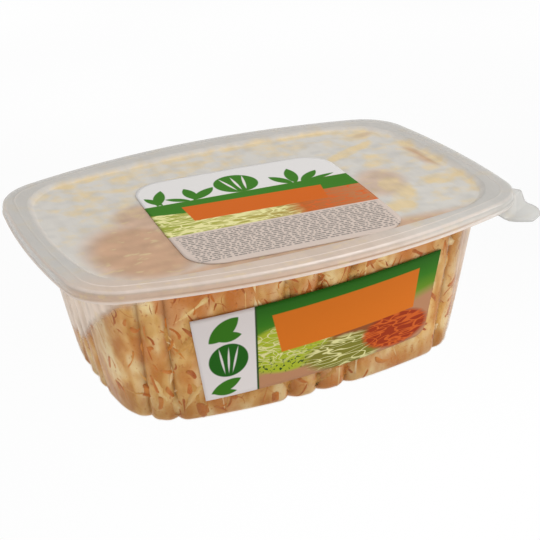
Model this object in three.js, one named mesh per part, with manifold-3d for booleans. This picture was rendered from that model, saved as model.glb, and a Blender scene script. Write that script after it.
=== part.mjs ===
// Coleslaw in a lidded deli tub: a thin-walled fluted polypropylene tub, the press-on lid with its
// corner pull tab, the salad inside and the two paper labels. Millimetres, +Z up. The origin is
// the centre of the flat base, +X runs along the long side and -Y faces the front label.
import * as THREE from 'three';
import { mergeVertices } from 'three/addons/utils/BufferGeometryUtils.js';
import Module from 'manifold-3d';

// ---- driving dimensions -------------------------------------------------------------------
const LID_LENGTH = 164;
const LID_WIDTH = 126.6;
const LID_LONG_ARC = 217; // radius of the bowed long sides
const LID_SHORT_ARC = 328; // radius of the bowed short sides
const LID_CORNER = 19.5;
const PACK_HEIGHT = 57.9; // base to the lid's rim
const LID_SHEET = 0.5; // lid sheet thickness
const PANEL_DROP = 1.5; // how far the lid's panel lies below its rim
const PANEL_SPREAD = 0.5; // the panel reaches this far past the tub's mouth
const SKIRT_HEIGHT = 4;
const SKIRT_FLARE = 0.35; // bead along the skirt's lower edge

const MOUTH_LENGTH = 145.6; // outer size of the tub wall just under its flange
const MOUTH_WIDTH = 102;
const MOUTH_LONG_ARC = 360;
const MOUTH_SHORT_ARC = 171;
const MOUTH_CORNER = 21.5;
const BASE_LENGTH = 126.8; // outer size of the tub wall at the base
const BASE_WIDTH = 92.8;
const BASE_LONG_ARC = 216;
const BASE_SHORT_ARC = 225;
const BASE_CORNER = 23.5;
const WALL_TOP = 54.6;
const WALL_SHEET = 0.6;
const HEEL_RADIUS = 3.2; // rounding between wall and base
const FLANGE_RISE = 1.6; // the flange slopes up this far from the mouth
const FLANGE_RUN = 2.7; // over this width
const FLANGE_LIP = 1.1; // turned-down edge of the flange
const LID_TO_FLANGE = 1.3; // the flange's edge lies this far inside the skirt

// Vertical flutes: grooves between rounded lobes, as places along a side at the base and mouth.
const FLUTE_DEPTH = 2.5;
const FLUTE_TOP_SHARE = 0.5; // share of that depth left at the mouth
const FLUTE_FLANK = [
  { out: 1.9, depth: 0.3 },
  { out: 4.1, depth: 0 },
]; // share of the depth at these distances from a groove's bottom
const LONG_SIDE_FLUTES = [
  { base: 10.5, mouth: 12.4 },
  { base: 49.2, mouth: 53.0 },
  { base: 57.5, mouth: 61.2 },
];
const SHORT_SIDE_FLUTES = [{ base: 9.0, mouth: 9.9 }];
const PLAIN_STATIONS = [0, 6, 0, 4, 0]; // extra stations after each groove, on plain panels
const LID_STATIONS = [5, 10, 11]; // along the short side, round the corner, along the long side

const SALAD_GAP = 0.3; // clearance between salad and wall
const SALAD_FLOOR = 1.0;
const SALAD_LEVEL = 52.6; // salad height where it nearly touches the lid
const SALAD_BACK_DROP = 9; // the surface falls this far towards the back
const POCKET_DROP = 32; // depth of the air pocket at the left end
const SALAD_LOWEST = 15;
const SALAD_CEILING = 55.4; // nothing reaches above this, just under the lid
const SALAD_GRID = [13, 9]; // cells of the surface along the tub and across it
const SHRED_COUNT = 44;
const SHRED_LENGTH = [20, 38];
const SHRED_WIDTH = [2.2, 3.4];
const SHRED_THICKNESS = 1.4;
const SHRED_RISE = 0.9; // a shred's middle lies this far above the surface
const SHRED_DIP = 0.5; // and its ends this far below it

const TAB_FOOT = [76, -43.8]; // where the pull tab leaves the lid's front right corner
const TAB_HEADING = -58; // degrees from +X
const TAB_LENGTH = 10.2;
const TAB_HALF_WIDTH = 8.4;
const TAB_THICKNESS = 0.8;
const TAB_ROOT = 5; // how far the tab runs in under the skirt
const TAB_STEP_OUT = 1.2; // flat stretch before the tab bends down
const TAB_STEP_DOWN = 3.8;
const TAB_TIP_DROP = 5.1;

const LABEL_SHEET = 0.25;
const LABEL_GAP = 0.2;
const FRONT_LABEL = { top: 91.6, bottom: 82.6, height: 31.4, x: 1, z: 25.6, tilt: 2.3, corner: 5 };
const TOP_LABEL = { width: 75.4, depth: 79, x: -1.2, y: -9.9, turn: -4.6, corner: 11.5, bow: 0.7 };

const smoothstep = THREE.MathUtils.smoothstep;
const lerp = THREE.MathUtils.lerp;

// ---- outlines -----------------------------------------------------------------------------

/** A rectangle with bowed sides: one arc for each side, joined by corner arcs tangent to both. */
class Outline {
  constructor(halfLength, halfWidth, longArc, shortArc, corner) {
    Object.assign(this, { halfLength, halfWidth, longArc, shortArc, corner });
    const longCentre = new THREE.Vector2(0, halfWidth - longArc);
    const shortCentre = new THREE.Vector2(halfLength - shortArc, 0);
    const between = shortCentre.clone().sub(longCentre);
    const reachLong = longArc - corner;
    const reachShort = shortArc - corner;
    const span = between.length();
    const along = (reachLong ** 2 - reachShort ** 2 + span ** 2) / (2 * span);
    const across = Math.sqrt(reachLong ** 2 - along ** 2);
    const unit = between.normalize();
    this.cornerCentre = longCentre
      .clone()
      .addScaledVector(unit, along)
      .add(new THREE.Vector2(unit.y, -unit.x).multiplyScalar(across));
    this.longCentre = longCentre;
    this.shortCentre = shortCentre;
    this.shortEnd = this.cornerCentre.clone().sub(shortCentre).angle();
    this.longStart = this.cornerCentre.clone().sub(longCentre).angle();
    this.shortRun = shortArc * this.shortEnd;
    this.cornerRun = corner * (this.longStart - this.shortEnd);
    this.quarterRun = this.shortRun + this.cornerRun + longArc * (Math.PI / 2 - this.longStart);
  }

  grown(by) {
    return new Outline(
      this.halfLength + by,
      this.halfWidth + by,
      this.longArc + by,
      this.shortArc + by,
      this.corner + by,
    );
  }

  mixed(other, share) {
    const arc = (a, b) => 1 / lerp(1 / a, 1 / b, share);
    return new Outline(
      lerp(this.halfLength, other.halfLength, share),
      lerp(this.halfWidth, other.halfWidth, share),
      arc(this.longArc, other.longArc),
      arc(this.shortArc, other.shortArc),
      lerp(this.corner, other.corner, share),
    );
  }

  /** Point and outward normal at a run along the first quarter, from (halfLength, 0). */
  at(run) {
    let centre = this.longCentre;
    let radius = this.longArc;
    let angle = this.longStart + (run - this.shortRun - this.cornerRun) / radius;
    if (run < this.shortRun) {
      centre = this.shortCentre;
      radius = this.shortArc;
      angle = run / radius;
    } else if (run < this.shortRun + this.cornerRun) {
      centre = this.cornerCentre;
      radius = this.corner;
      angle = this.shortEnd + (run - this.shortRun) / radius;
    }
    const normal = new THREE.Vector2(Math.cos(angle), Math.sin(angle));
    return { point: centre.clone().addScaledVector(normal, radius), normal };
  }

  /** Run for a place: 0 to 1 along the short side, to 2 round the corner, to 3 on the long side. */
  runAtPlace(place) {
    const marks = this.marks();
    const part = Math.min(2, Math.floor(place));
    return lerp(marks[part], marks[part + 1], place - part);
  }

  placeAtRun(run) {
    const marks = this.marks();
    const part = run < marks[1] ? 0 : run < marks[2] ? 1 : 2;
    return part + (run - marks[part]) / (marks[part + 1] - marks[part]);
  }

  marks() {
    return [0, this.shortRun, this.shortRun + this.cornerRun, this.quarterRun];
  }

  /** Run at which the first quarter passes a given x, on the long side or its corner. */
  runAtX(x) {
    const onCorner = x > this.longCentre.x + this.longArc * Math.cos(this.longStart);
    const centre = onCorner ? this.cornerCentre : this.longCentre;
    const radius = onCorner ? this.corner : this.longArc;
    const angle = Math.acos((x - centre.x) / radius);
    if (onCorner) return this.shortRun + (angle - this.shortEnd) * radius;
    return this.shortRun + this.cornerRun + (angle - this.longStart) * radius;
  }

  /** Run at which the first quarter passes a given y on the short side. */
  runAtY(y) {
    return this.shortArc * Math.asin(y / this.shortArc);
  }

  /** How far from the middle line the long side lies at a given x. */
  reachAtX(x) {
    return this.at(this.runAtX(Math.abs(x))).point.y;
  }
}

const lidOutline = new Outline(
  LID_LENGTH / 2,
  LID_WIDTH / 2,
  LID_LONG_ARC,
  LID_SHORT_ARC,
  LID_CORNER,
);
const mouthOutline = new Outline(
  MOUTH_LENGTH / 2,
  MOUTH_WIDTH / 2,
  MOUTH_LONG_ARC,
  MOUTH_SHORT_ARC,
  MOUTH_CORNER,
);
const baseOutline = new Outline(
  BASE_LENGTH / 2,
  BASE_WIDTH / 2,
  BASE_LONG_ARC,
  BASE_SHORT_ARC,
  BASE_CORNER,
);

/** Mirror a first-quarter list of points round all four quarters, counter-clockwise. */
function fullRing(quarter) {
  const back = quarter.slice().reverse();
  const place = (list, sx, sy) => list.map((p) => new THREE.Vector3(sx * p.x, sy * p.y, p.z));
  return [
    ...place(quarter, 1, 1),
    ...place(back.slice(1), -1, 1),
    ...place(quarter.slice(1), -1, -1),
    ...place(back.slice(1, -1), 1, -1),
  ];
}

/** Stations of the first quarter: places along the run with the share of flute depth there. */
function fluteStations(outline, share) {
  const shortRuns = SHORT_SIDE_FLUTES.map((f) => outline.runAtY(lerp(f.base, f.mouth, share)));
  const longRuns = LONG_SIDE_FLUTES.map((f) => outline.runAtX(lerp(f.base, f.mouth, share)));
  const grooves = [0, ...shortRuns, ...longRuns.reverse(), outline.quarterRun];
  const flank = FLUTE_FLANK.flatMap(({ out, depth }) => [
    { out: -out, depth },
    { out, depth },
  ]);
  const stations = [];
  grooves.forEach((run, i) => {
    stations.push({ run, depth: 1 });
    flank.forEach(({ out, depth }) => stations.push({ run: run + out, depth }));
    const plain = PLAIN_STATIONS[i] ?? 0;
    const from = run + FLUTE_FLANK.at(-1).out;
    const to = grooves[i + 1] - FLUTE_FLANK.at(-1).out;
    for (let k = 1; k <= plain; k += 1) {
      stations.push({ run: lerp(from, to, k / (plain + 1)), depth: 0 });
    }
  });
  return stations
    .filter(({ run }) => run >= 0 && run <= outline.quarterRun)
    .sort((a, b) => a.run - b.run);
}

/** Inset that rounds the wall into the base, for a face `inset` inside the outer one. */
function heelInset(z, inset) {
  const radius = HEEL_RADIUS - inset;
  const below = Math.min(HEEL_RADIUS - z, radius);
  return below > 0 ? radius - Math.sqrt(radius ** 2 - below ** 2) : 0;
}

/** The fluted wall's ring at a height, moved in by `inset` from its outer face. */
function wallRing(z, inset) {
  const share = z / WALL_TOP;
  const outline = baseOutline.mixed(mouthOutline, share);
  const fluteDepth = FLUTE_DEPTH * lerp(1, FLUTE_TOP_SHARE, share);
  const quarter = fluteStations(outline, share).map(({ run, depth }) => {
    const { point, normal } = outline.at(run);
    point.addScaledVector(normal, -inset - heelInset(z, inset) - depth * fluteDepth);
    return new THREE.Vector3(point.x, point.y, z);
  });
  return fullRing(quarter);
}

/** A ring on an outline grown by `by`, one point for each place along the first quarter. */
function plainRing(outline, by, z, places) {
  const grown = outline.grown(by);
  const quarter = places.map((place) => {
    const { point } = grown.at(grown.runAtPlace(place));
    return new THREE.Vector3(point.x, point.y, z);
  });
  return fullRing(quarter);
}

/** Places that line up with the wall's stations, for the flange. */
const wallPlaces = fluteStations(mouthOutline, 1).map(({ run }) => mouthOutline.placeAtRun(run));

/** Places spread over the short side (0 to 1), corner (1 to 2) and long side (2 to 3). */
function spreadPlaces(steps) {
  const places = [0];
  steps.forEach((count, part) => {
    for (let k = 1; k <= count; k += 1) places.push(part + k / count);
  });
  return places;
}

// ---- meshes -------------------------------------------------------------------------------

/**
 * Closed body skinned over rings of equal count, each end closed to its middle. The diagonal of
 * each face leans the same way on rising and falling stretches, so nested walls keep their gap.
 */
function skin(rings) {
  const count = rings[0].length;
  const middle = (ring) =>
    ring.reduce((sum, p) => sum.add(p), new THREE.Vector3()).divideScalar(count);
  const points = [...rings.flat(), middle(rings[0]), middle(rings.at(-1))];
  const first = rings.length * count;
  const last = first + 1;
  const index = [];
  for (let k = 0; k < count; k += 1) {
    const next = (k + 1) % count;
    index.push(first, next, k);
    index.push(last, (rings.length - 1) * count + k, (rings.length - 1) * count + next);
    for (let r = 0; r + 1 < rings.length; r += 1) {
      const a = r * count + k;
      const b = r * count + next;
      const [c, d] = [b + count, a + count];
      if (points[d].z >= points[a].z) index.push(a, b, c, a, c, d);
      else index.push(a, b, d, b, c, d);
    }
  }
  const geometry = new THREE.BufferGeometry().setFromPoints(points);
  geometry.setIndex(index);
  return geometry;
}

const wasm = await Module();
wasm.setup();

function toSolid(geometry) {
  const bare = geometry.clone();
  bare.deleteAttribute('normal');
  bare.deleteAttribute('uv');
  const merged = mergeVertices(bare, 1e-4);
  return new wasm.Manifold(
    new wasm.Mesh({
      numProp: 3,
      vertProperties: new Float32Array(merged.attributes.position.array),
      triVerts: new Uint32Array(merged.index.array),
    }),
  );
}

function toGeometry(solid) {
  const mesh = solid.getMesh();
  const geometry = new THREE.BufferGeometry();
  geometry.setAttribute('position', new THREE.BufferAttribute(mesh.vertProperties, 3));
  geometry.setIndex(new THREE.BufferAttribute(mesh.triVerts, 1));
  geometry.computeVertexNormals();
  return geometry;
}

/** Largest shell of a solid, so that loose scraps go and sealed hollows are filled. */
function outerShell(solid) {
  const shells = solid.decompose();
  return shells.reduce((best, shell) => (shell.volume() > best.volume() ? shell : best));
}

function tubGeometry() {
  const flangeTop = WALL_TOP + FLANGE_RISE + WALL_SHEET;
  const flangeUnder = flangeTop - WALL_SHEET;
  const rings = [
    wallRing(0, 0),
    wallRing(0.3 * HEEL_RADIUS, 0),
    wallRing(HEEL_RADIUS, 0),
    wallRing(WALL_TOP, 0),
    plainRing(mouthOutline, FLANGE_RUN, flangeUnder, wallPlaces),
    plainRing(lidOutline, -LID_TO_FLANGE - WALL_SHEET, flangeUnder, wallPlaces),
    plainRing(lidOutline, -LID_TO_FLANGE - WALL_SHEET, flangeUnder - FLANGE_LIP, wallPlaces),
    plainRing(lidOutline, -LID_TO_FLANGE, flangeUnder - FLANGE_LIP, wallPlaces),
    plainRing(lidOutline, -LID_TO_FLANGE, flangeTop, wallPlaces),
    plainRing(mouthOutline, FLANGE_RUN, flangeTop, wallPlaces),
    wallRing(WALL_TOP, WALL_SHEET),
    wallRing(HEEL_RADIUS, WALL_SHEET),
    wallRing(0.45 * HEEL_RADIUS, WALL_SHEET),
    wallRing(WALL_SHEET + 0.1, WALL_SHEET),
  ];
  return skin(rings);
}

/** Pull tab: a tongue that steps down and flares out from the lid's front right corner. */
function tabGeometry() {
  const bottom = PACK_HEIGHT - SKIRT_HEIGHT + TAB_THICKNESS / 2;
  const heading = THREE.MathUtils.degToRad(TAB_HEADING);
  const outward = new THREE.Vector3(Math.cos(heading), Math.sin(heading), 0);
  const across = new THREE.Vector3(-outward.y, outward.x, 0);
  const foot = new THREE.Vector3(...TAB_FOOT, bottom);
  const profile = [
    { out: -TAB_ROOT, drop: 0 },
    { out: 0, drop: 0 },
    { out: TAB_STEP_OUT, drop: 0.2 },
    { out: TAB_STEP_OUT + 0.9, drop: TAB_STEP_DOWN },
    { out: TAB_STEP_OUT + 1.9, drop: TAB_STEP_DOWN + 0.5 },
    { out: 0.8 * TAB_LENGTH, drop: lerp(TAB_STEP_DOWN, TAB_TIP_DROP, 0.6) },
    { out: 0.93 * TAB_LENGTH, drop: lerp(TAB_STEP_DOWN, TAB_TIP_DROP, 0.85) },
    { out: TAB_LENGTH, drop: TAB_TIP_DROP },
  ];
  const columns = 6;
  const rings = profile.map(({ out, drop }) => {
    const reach = Math.max(out, 0) / (TAB_LENGTH * 1.06);
    const half = TAB_HALF_WIDTH * Math.sqrt(1 - reach ** 2.4);
    const row = (lift) =>
      Array.from({ length: columns + 1 }, (_, j) =>
        foot
          .clone()
          .addScaledVector(outward, out)
          .addScaledVector(across, half * ((2 * j) / columns - 1))
          .add(new THREE.Vector3(0, 0, lift - drop)),
      );
    return [...row(-TAB_THICKNESS / 2), ...row(TAB_THICKNESS / 2).reverse()];
  });
  return skin(rings);
}

function lidGeometry() {
  const bottom = PACK_HEIGHT - SKIRT_HEIGHT;
  const panel = PACK_HEIGHT - PANEL_DROP;
  const places = spreadPlaces(LID_STATIONS);
  const onLid = (by, z) => plainRing(lidOutline, by, z, places);
  const onMouth = (by, z) => plainRing(mouthOutline, by, z, places);
  const rings = [
    onMouth(PANEL_SPREAD, panel - LID_SHEET),
    onMouth(FLANGE_RUN + 0.2, PACK_HEIGHT - LID_SHEET),
    onLid(-1.1, PACK_HEIGHT - LID_SHEET),
    onLid(-0.6, PACK_HEIGHT - 1.0),
    onLid(-LID_SHEET, bottom),
    onLid(SKIRT_FLARE, bottom),
    onLid(SKIRT_FLARE, bottom + 0.7),
    onLid(0, bottom + 1.2),
    onLid(-0.1, PACK_HEIGHT - 0.7),
    onLid(-0.8, PACK_HEIGHT),
    onMouth(FLANGE_RUN, PACK_HEIGHT),
    onMouth(PANEL_SPREAD, panel),
  ];
  return toGeometry(toSolid(skin(rings)).add(toSolid(tabGeometry())));
}

// ---- salad --------------------------------------------------------------------------------

/** Height of the salad's surface: high at the front, lower at the back, a pocket at the left. */
function saladHeight(x, y) {
  const back = SALAD_BACK_DROP * smoothstep(y, -8, 34);
  const pocket = POCKET_DROP * smoothstep(y, -54, 8) * (1 - smoothstep(x, -68, -44));
  const lumps = Math.sin(0.13 * x + 0.6) * Math.cos(0.15 * y) + 0.6 * Math.sin(0.3 * x - 0.2 * y);
  return Math.max(SALAD_LOWEST, SALAD_LEVEL - back - pocket + 0.7 * lumps);
}

/** The room inside the tub, less the clearance, up to just under the lid. */
function saladRoom() {
  const inset = WALL_SHEET + SALAD_GAP;
  const levels = [SALAD_FLOOR, 0.45 * HEEL_RADIUS, HEEL_RADIUS, SALAD_CEILING];
  return toSolid(skin(levels.map((z) => wallRing(z, inset))));
}

/** A block whose top follows the salad's surface on a coarse grid. */
function saladBlock() {
  const length = MOUTH_LENGTH + 4;
  const width = MOUTH_WIDTH + 4;
  const block = new THREE.BoxGeometry(length, width, 1, ...SALAD_GRID, 1);
  const place = block.attributes.position;
  for (let i = 0; i < place.count; i += 1) {
    const onTop = place.getZ(i) > 0;
    place.setZ(i, onTop ? saladHeight(place.getX(i), place.getY(i)) : SALAD_FLOOR - 1);
  }
  return toSolid(block);
}

/** Repeatable random numbers from a linear congruential rule. */
function seeded(seed) {
  let state = seed;
  return (low = 0, high = 1) => {
    state = (state * 1664525 + 1013904223) % 4294967296;
    return low + (high - low) * (state / 4294967296);
  };
}

/** A flat strip of cabbage or carrot, swept along a bent path that dips into the surface. */
function shredSolid(random) {
  const length = random(...SHRED_LENGTH);
  const width = random(...SHRED_WIDTH);
  const heading = random(0, Math.PI);
  const bend = random(-0.5, 0.5);
  const x0 = random(-0.5, 0.5) * (MOUTH_LENGTH - length);
  const y0 = random(-0.5, 0.5) * (MOUTH_WIDTH - length);
  const path = [-0.5, 0, 0.5].map((t) => {
    const turn = heading + bend * t;
    const x = x0 + Math.cos(turn) * length * t;
    const y = y0 + Math.sin(turn) * length * t;
    return new THREE.Vector3(x, y, saladHeight(x, y) + (t === 0 ? SHRED_RISE : -SHRED_DIP));
  });
  const shape = new THREE.Shape([
    new THREE.Vector2(-SHRED_THICKNESS / 2, -width / 2),
    new THREE.Vector2(SHRED_THICKNESS / 2, -width / 2),
    new THREE.Vector2(SHRED_THICKNESS / 2, width / 2),
    new THREE.Vector2(-SHRED_THICKNESS / 2, width / 2),
  ]);
  const curve = new THREE.CatmullRomCurve3(path);
  return toSolid(new THREE.ExtrudeGeometry(shape, { steps: 3, extrudePath: curve }));
}

function saladGeometry() {
  const random = seeded(7);
  let heap = saladBlock();
  for (let i = 0; i < SHRED_COUNT; i += 1) heap = heap.add(shredSolid(random));
  return toGeometry(outerShell(heap.intersect(saladRoom())));
}

// ---- labels -------------------------------------------------------------------------------

/** Paper label on the front wall, bridging the flutes from crest to crest. */
function frontLabelGeometry() {
  const { top, bottom, height, x, z, tilt, corner } = FRONT_LABEL;
  const lean = Math.tan(THREE.MathUtils.degToRad(tilt));
  const edge = corner / bottom;
  const shares = [0, 0.1, 0.2, 0.3, 0.4, 0.5, 0.6, 0.7, 0.8, 0.88, 1 - edge];
  for (let k = 1; k <= 4; k += 1) shares.push(1 - edge + edge * Math.sin((k / 4) * (Math.PI / 2)));
  const onWall = (across, up, off) => {
    const outline = baseOutline.mixed(mouthOutline, up / WALL_TOP);
    return new THREE.Vector3(across, -outline.reachAtX(across) - off, up);
  };
  const rings = shares.map((share) => {
    const into = Math.max(0, (share - 1 + edge) / edge);
    const lift = corner * (1 - Math.sqrt(1 - into ** 2)) * 0.98;
    const xTop = x + (share - 0.5) * top;
    const xLow = x + (share - 0.5) * bottom;
    const zTop = z + height / 2 + xTop * lean;
    const zLow = z - height / 2 + xLow * lean + lift;
    const near = LABEL_GAP;
    const far = LABEL_GAP + LABEL_SHEET;
    return [
      onWall(xLow, zLow, near),
      onWall(xTop, zTop, near),
      onWall(xTop, zTop, far),
      onWall(xLow, zLow, far),
    ];
  });
  return skin(rings);
}

/** Paper label on the lid's panel: a square with bowed sides and rounded corners. */
function topLabelGeometry() {
  const { width, depth, x, y, turn, corner, bow } = TOP_LABEL;
  const arcOf = (half, sag) => (half ** 2 + sag ** 2) / (2 * sag);
  const outline = new Outline(
    width / 2,
    depth / 2,
    arcOf(width / 2, bow),
    arcOf(depth / 2, bow),
    corner,
  );
  const steps = 12;
  const quarter = Array.from({ length: steps + 1 }, (_, k) => {
    const { point } = outline.at((k / steps) * outline.quarterRun);
    return new THREE.Vector3(point.x, point.y, 0);
  });
  const shape = new THREE.Shape(fullRing(quarter).map((p) => new THREE.Vector2(p.x, p.y)));
  const geometry = new THREE.ExtrudeGeometry(shape, { depth: LABEL_SHEET, bevelEnabled: false });
  geometry.rotateZ(THREE.MathUtils.degToRad(turn));
  geometry.translate(x, y, PACK_HEIGHT - PANEL_DROP + LABEL_GAP);
  return geometry;
}

// ---- the object ---------------------------------------------------------------------------

function part(name, geometry, material) {
  const mesh = new THREE.Mesh(geometry, new THREE.MeshStandardMaterial(material));
  mesh.name = name;
  return mesh;
}

const pack = new THREE.Group();
pack.add(
  part('tub', tubGeometry(), { color: 0xdcd6cf, roughness: 0.25, transparent: true, opacity: 0.35 }),
  part('lid', lidGeometry(), { color: 0xcfcdc9, roughness: 0.35, transparent: true, opacity: 0.6 }),
  part('coleslaw', saladGeometry(), { color: 0xd6b078, roughness: 0.4 }),
  part('label_front', frontLabelGeometry(), { color: 0x2f7a2a, roughness: 0.45 }),
  part('label_top', topLabelGeometry(), { color: 0xe4e0dc, roughness: 0.5 }),
);

export default pack;
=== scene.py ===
"""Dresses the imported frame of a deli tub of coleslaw: plastic, salad, paper labels and studio."""

import logging
import math
from dataclasses import dataclass, field
from enum import Enum
from typing import Any

import bpy
import numpy as np
from mathutils import Matrix, Vector


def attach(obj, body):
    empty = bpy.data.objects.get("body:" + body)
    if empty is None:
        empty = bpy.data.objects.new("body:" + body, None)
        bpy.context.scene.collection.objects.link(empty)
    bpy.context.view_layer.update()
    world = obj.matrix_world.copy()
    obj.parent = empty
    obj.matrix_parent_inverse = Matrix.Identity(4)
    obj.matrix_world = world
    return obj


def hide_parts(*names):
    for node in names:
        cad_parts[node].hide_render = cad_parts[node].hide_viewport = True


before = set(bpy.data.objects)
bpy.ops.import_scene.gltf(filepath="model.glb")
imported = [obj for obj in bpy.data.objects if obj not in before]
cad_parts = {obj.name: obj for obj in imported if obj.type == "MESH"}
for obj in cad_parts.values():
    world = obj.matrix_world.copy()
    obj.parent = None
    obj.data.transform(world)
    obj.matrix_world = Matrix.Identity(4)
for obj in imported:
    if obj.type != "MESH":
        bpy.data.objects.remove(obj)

MM = 0.001
FACE_SCALE = 100.0  # millimetres for each unit of a label's print map
PAINTED_SHADE_BROWN = "#965f2a"  # brown painted into the salad as shade: darker at the bottom, in the grooves and at both ends
LOG = logging.getLogger("coleslaw")

Pair = tuple[float, float]
Triple = tuple[float, float, float]


# ---- shared shape helpers -----------------------------------------------------------------


def smoothstep(value: np.ndarray, low: float, high: float) -> np.ndarray:
    """Smooth rise from 0 at `low` to 1 at `high`."""
    share = np.clip((value - low) / (high - low), 0.0, 1.0)
    return share * share * (3.0 - 2.0 * share)


def mixed(low: Any, high: Any, share: Any) -> Any:
    """Value between two, in equal steps of `share`."""
    return low + (high - low) * share


def ridge(value: np.ndarray, place: Any, width: float) -> np.ndarray:
    """Smooth ridge, 1 at `place` and about a third of that `width` away from it."""
    return np.exp(-(((value - place) / width) ** 2))


class Unevenness:
    """Smooth seeded random field over points, a sum of plane waves with spread of about one."""

    def __init__(self, seed: int, size: float, dims: int, waves: int = 22) -> None:
        """Draw the waves.

        Args:
            seed: Seed of the draw.
            size: Usual length of a wave in millimetres.
            dims: Count of coordinates of a point.
            waves: Count of waves.
        """
        draw = np.random.default_rng(seed)
        heading = draw.normal(size=(waves, dims))
        heading /= np.linalg.norm(heading, axis=1, keepdims=True)
        self.waves = heading * (2 * np.pi / (size * draw.uniform(0.6, 1.7, (waves, 1))))
        self.phases = draw.uniform(0, 2 * np.pi, waves)

    def at(self, *coordinates: np.ndarray) -> np.ndarray:
        """Field at points.

        Args:
            coordinates: An array for each coordinate of the points.

        Returns:
            The field, of the arrays' common shape.
        """
        points = np.stack(np.broadcast_arrays(*coordinates), axis=-1)
        swell = np.sin(points @ self.waves.T + self.phases)
        return swell.sum(axis=-1) * math.sqrt(2 / len(self.phases))


@dataclass
class Outline:
    """A rectangle with bowed sides: an arc for each side, joined by tangent corner arcs.

    Each size may be a number or an array, one value for each point that is asked for.
    """

    half_length: Any
    half_width: Any
    long_arc: Any
    short_arc: Any
    corner: Any

    def __post_init__(self) -> None:
        """Work out the arcs' centres and where they meet."""
        self.long_y = self.half_width - self.long_arc
        self.short_x = self.half_length - self.short_arc
        reach_long = self.long_arc - self.corner
        reach_short = self.short_arc - self.corner
        span = np.hypot(self.short_x, self.long_y)
        along = (reach_long**2 - reach_short**2 + span**2) / (2 * span)
        across = np.sqrt(reach_long**2 - along**2)
        unit_x, unit_y = self.short_x / span, -self.long_y / span
        self.corner_x = unit_x * along + unit_y * across
        self.corner_y = self.long_y + unit_y * along - unit_x * across
        self.short_end = np.arctan2(self.corner_y, self.corner_x - self.short_x)
        self.long_start = np.arctan2(self.corner_y - self.long_y, self.corner_x)
        self.short_run = self.short_arc * self.short_end
        self.corner_run = self.short_run + self.corner * (self.long_start - self.short_end)
        self.quarter_run = self.corner_run + self.long_arc * (np.pi / 2 - self.long_start)

    def sizes(self) -> tuple[Any, ...]:
        """The sizes in the order of the fields."""
        return self.half_length, self.half_width, self.long_arc, self.short_arc, self.corner

    def grown(self, by: float) -> "Outline":
        """The outline moved outwards all round."""
        return Outline(*(size + by for size in self.sizes()))

    def towards(self, other: "Outline", share: Any) -> "Outline":
        """An outline between this one and another, their bows mixed as curvatures.

        Args:
            other: The other outline.
            share: How far towards it, from 0 to 1.

        Returns:
            The new outline.
        """
        powers = (1, 1, -1, -1, 1)
        sizes = zip(self.sizes(), other.sizes(), powers)
        return Outline(*(mixed(a**power, b**power, share) ** power for a, b, power in sizes))

    def at(self, run: Any) -> tuple[np.ndarray, np.ndarray]:
        """Points on the first quarter.

        Args:
            run: Distance along the outline from the middle of the short side.

        Returns:
            Points and outward normals, both with a last axis of two.
        """
        where = [run < self.short_run, run < self.corner_run]
        angles = [run / self.short_arc, self.short_end + (run - self.short_run) / self.corner]
        angle = np.select(where, angles, self.long_start + (run - self.corner_run) / self.long_arc)
        radius = np.select(where, [self.short_arc, self.corner], self.long_arc)
        x = np.select(where, [self.short_x, self.corner_x], 0.0)
        y = np.select(where, [0.0, self.corner_y], self.long_y)
        normal = np.stack([np.cos(angle), np.sin(angle)], axis=-1)
        return np.stack([x, y], axis=-1) + radius[..., None] * normal, normal

    def run_at_x(self, x: Any) -> np.ndarray:
        """Run at which the first quarter passes x, on the long side or its corner.

        Args:
            x: Distance from the middle.

        Returns:
            Distance along the outline.
        """
        on_corner = x > self.long_arc * np.cos(self.long_start)
        bend = np.clip((x - self.corner_x) / self.corner, -1, 1)
        round_corner = self.short_run + (np.arccos(bend) - self.short_end) * self.corner
        on_side = self.corner_run + (np.arccos(x / self.long_arc) - self.long_start) * self.long_arc
        return np.where(on_corner, round_corner, on_side)

    def run_at_y(self, y: Any) -> np.ndarray:
        """Run at which the first quarter passes y on the short side."""
        return self.short_arc * np.arcsin(y / self.short_arc)

    def reach_at_x(self, x: np.ndarray) -> np.ndarray:
        """How far from the middle line the long side lies at x."""
        return self.at(self.run_at_x(np.abs(x)))[0][..., 1]

    def run_at_place(self, place: np.ndarray) -> np.ndarray:
        """Run for a place: to 1 on the short side, to 2 round the corner, to 3 on the long side."""
        return np.interp(place, range(4), [0, self.short_run, self.corner_run, self.quarter_run])

    def place_at_run(self, run: np.ndarray) -> np.ndarray:
        """Place for a run, the inverse of run_at_place."""
        return np.interp(run, [0, self.short_run, self.corner_run, self.quarter_run], range(4))

    def outside(self, by: float, x: np.ndarray, y: np.ndarray) -> np.ndarray:
        """How far points lie outside the outline.

        Args:
            by: How much the outline is grown first.
            x: Places of the points, in millimetres.
            y: The same.

        Returns:
            Shares that rise from 0 on the outline to 1 a millimetre outside it.
        """
        grown = self.grown(by)
        flat, _ = grown.at(np.linspace(0, grown.quarter_run, 400))
        angles = np.arctan2(flat[:, 1], flat[:, 0])
        reach = np.interp(np.arctan2(abs(y), abs(x)), angles, np.hypot(flat[:, 0], flat[:, 1]))
        return smoothstep(np.hypot(x, y) - reach, 0, 1)

    def between(self, low: float, high: float, x: np.ndarray, y: np.ndarray) -> np.ndarray:
        """Share by which points lie between the outline grown by `low` and by `high`."""
        return self.outside(low, x, y) * (1 - self.outside(high, x, y))


def full_ring(quarter: np.ndarray) -> np.ndarray:
    """Mirror the first quarter of a ring round all four quarters.

    Args:
        quarter: Its points, one to a row.

    Returns:
        The whole ring, counter-clockwise.
    """
    back = quarter[::-1]
    signs = [(1, 1), (-1, 1), (-1, -1), (1, -1)]
    rows = [quarter, back[1:], quarter[1:], back[1:-1]]
    return np.concatenate([row * (sx, sy, 1) for row, (sx, sy) in zip(rows, signs)])


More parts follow.
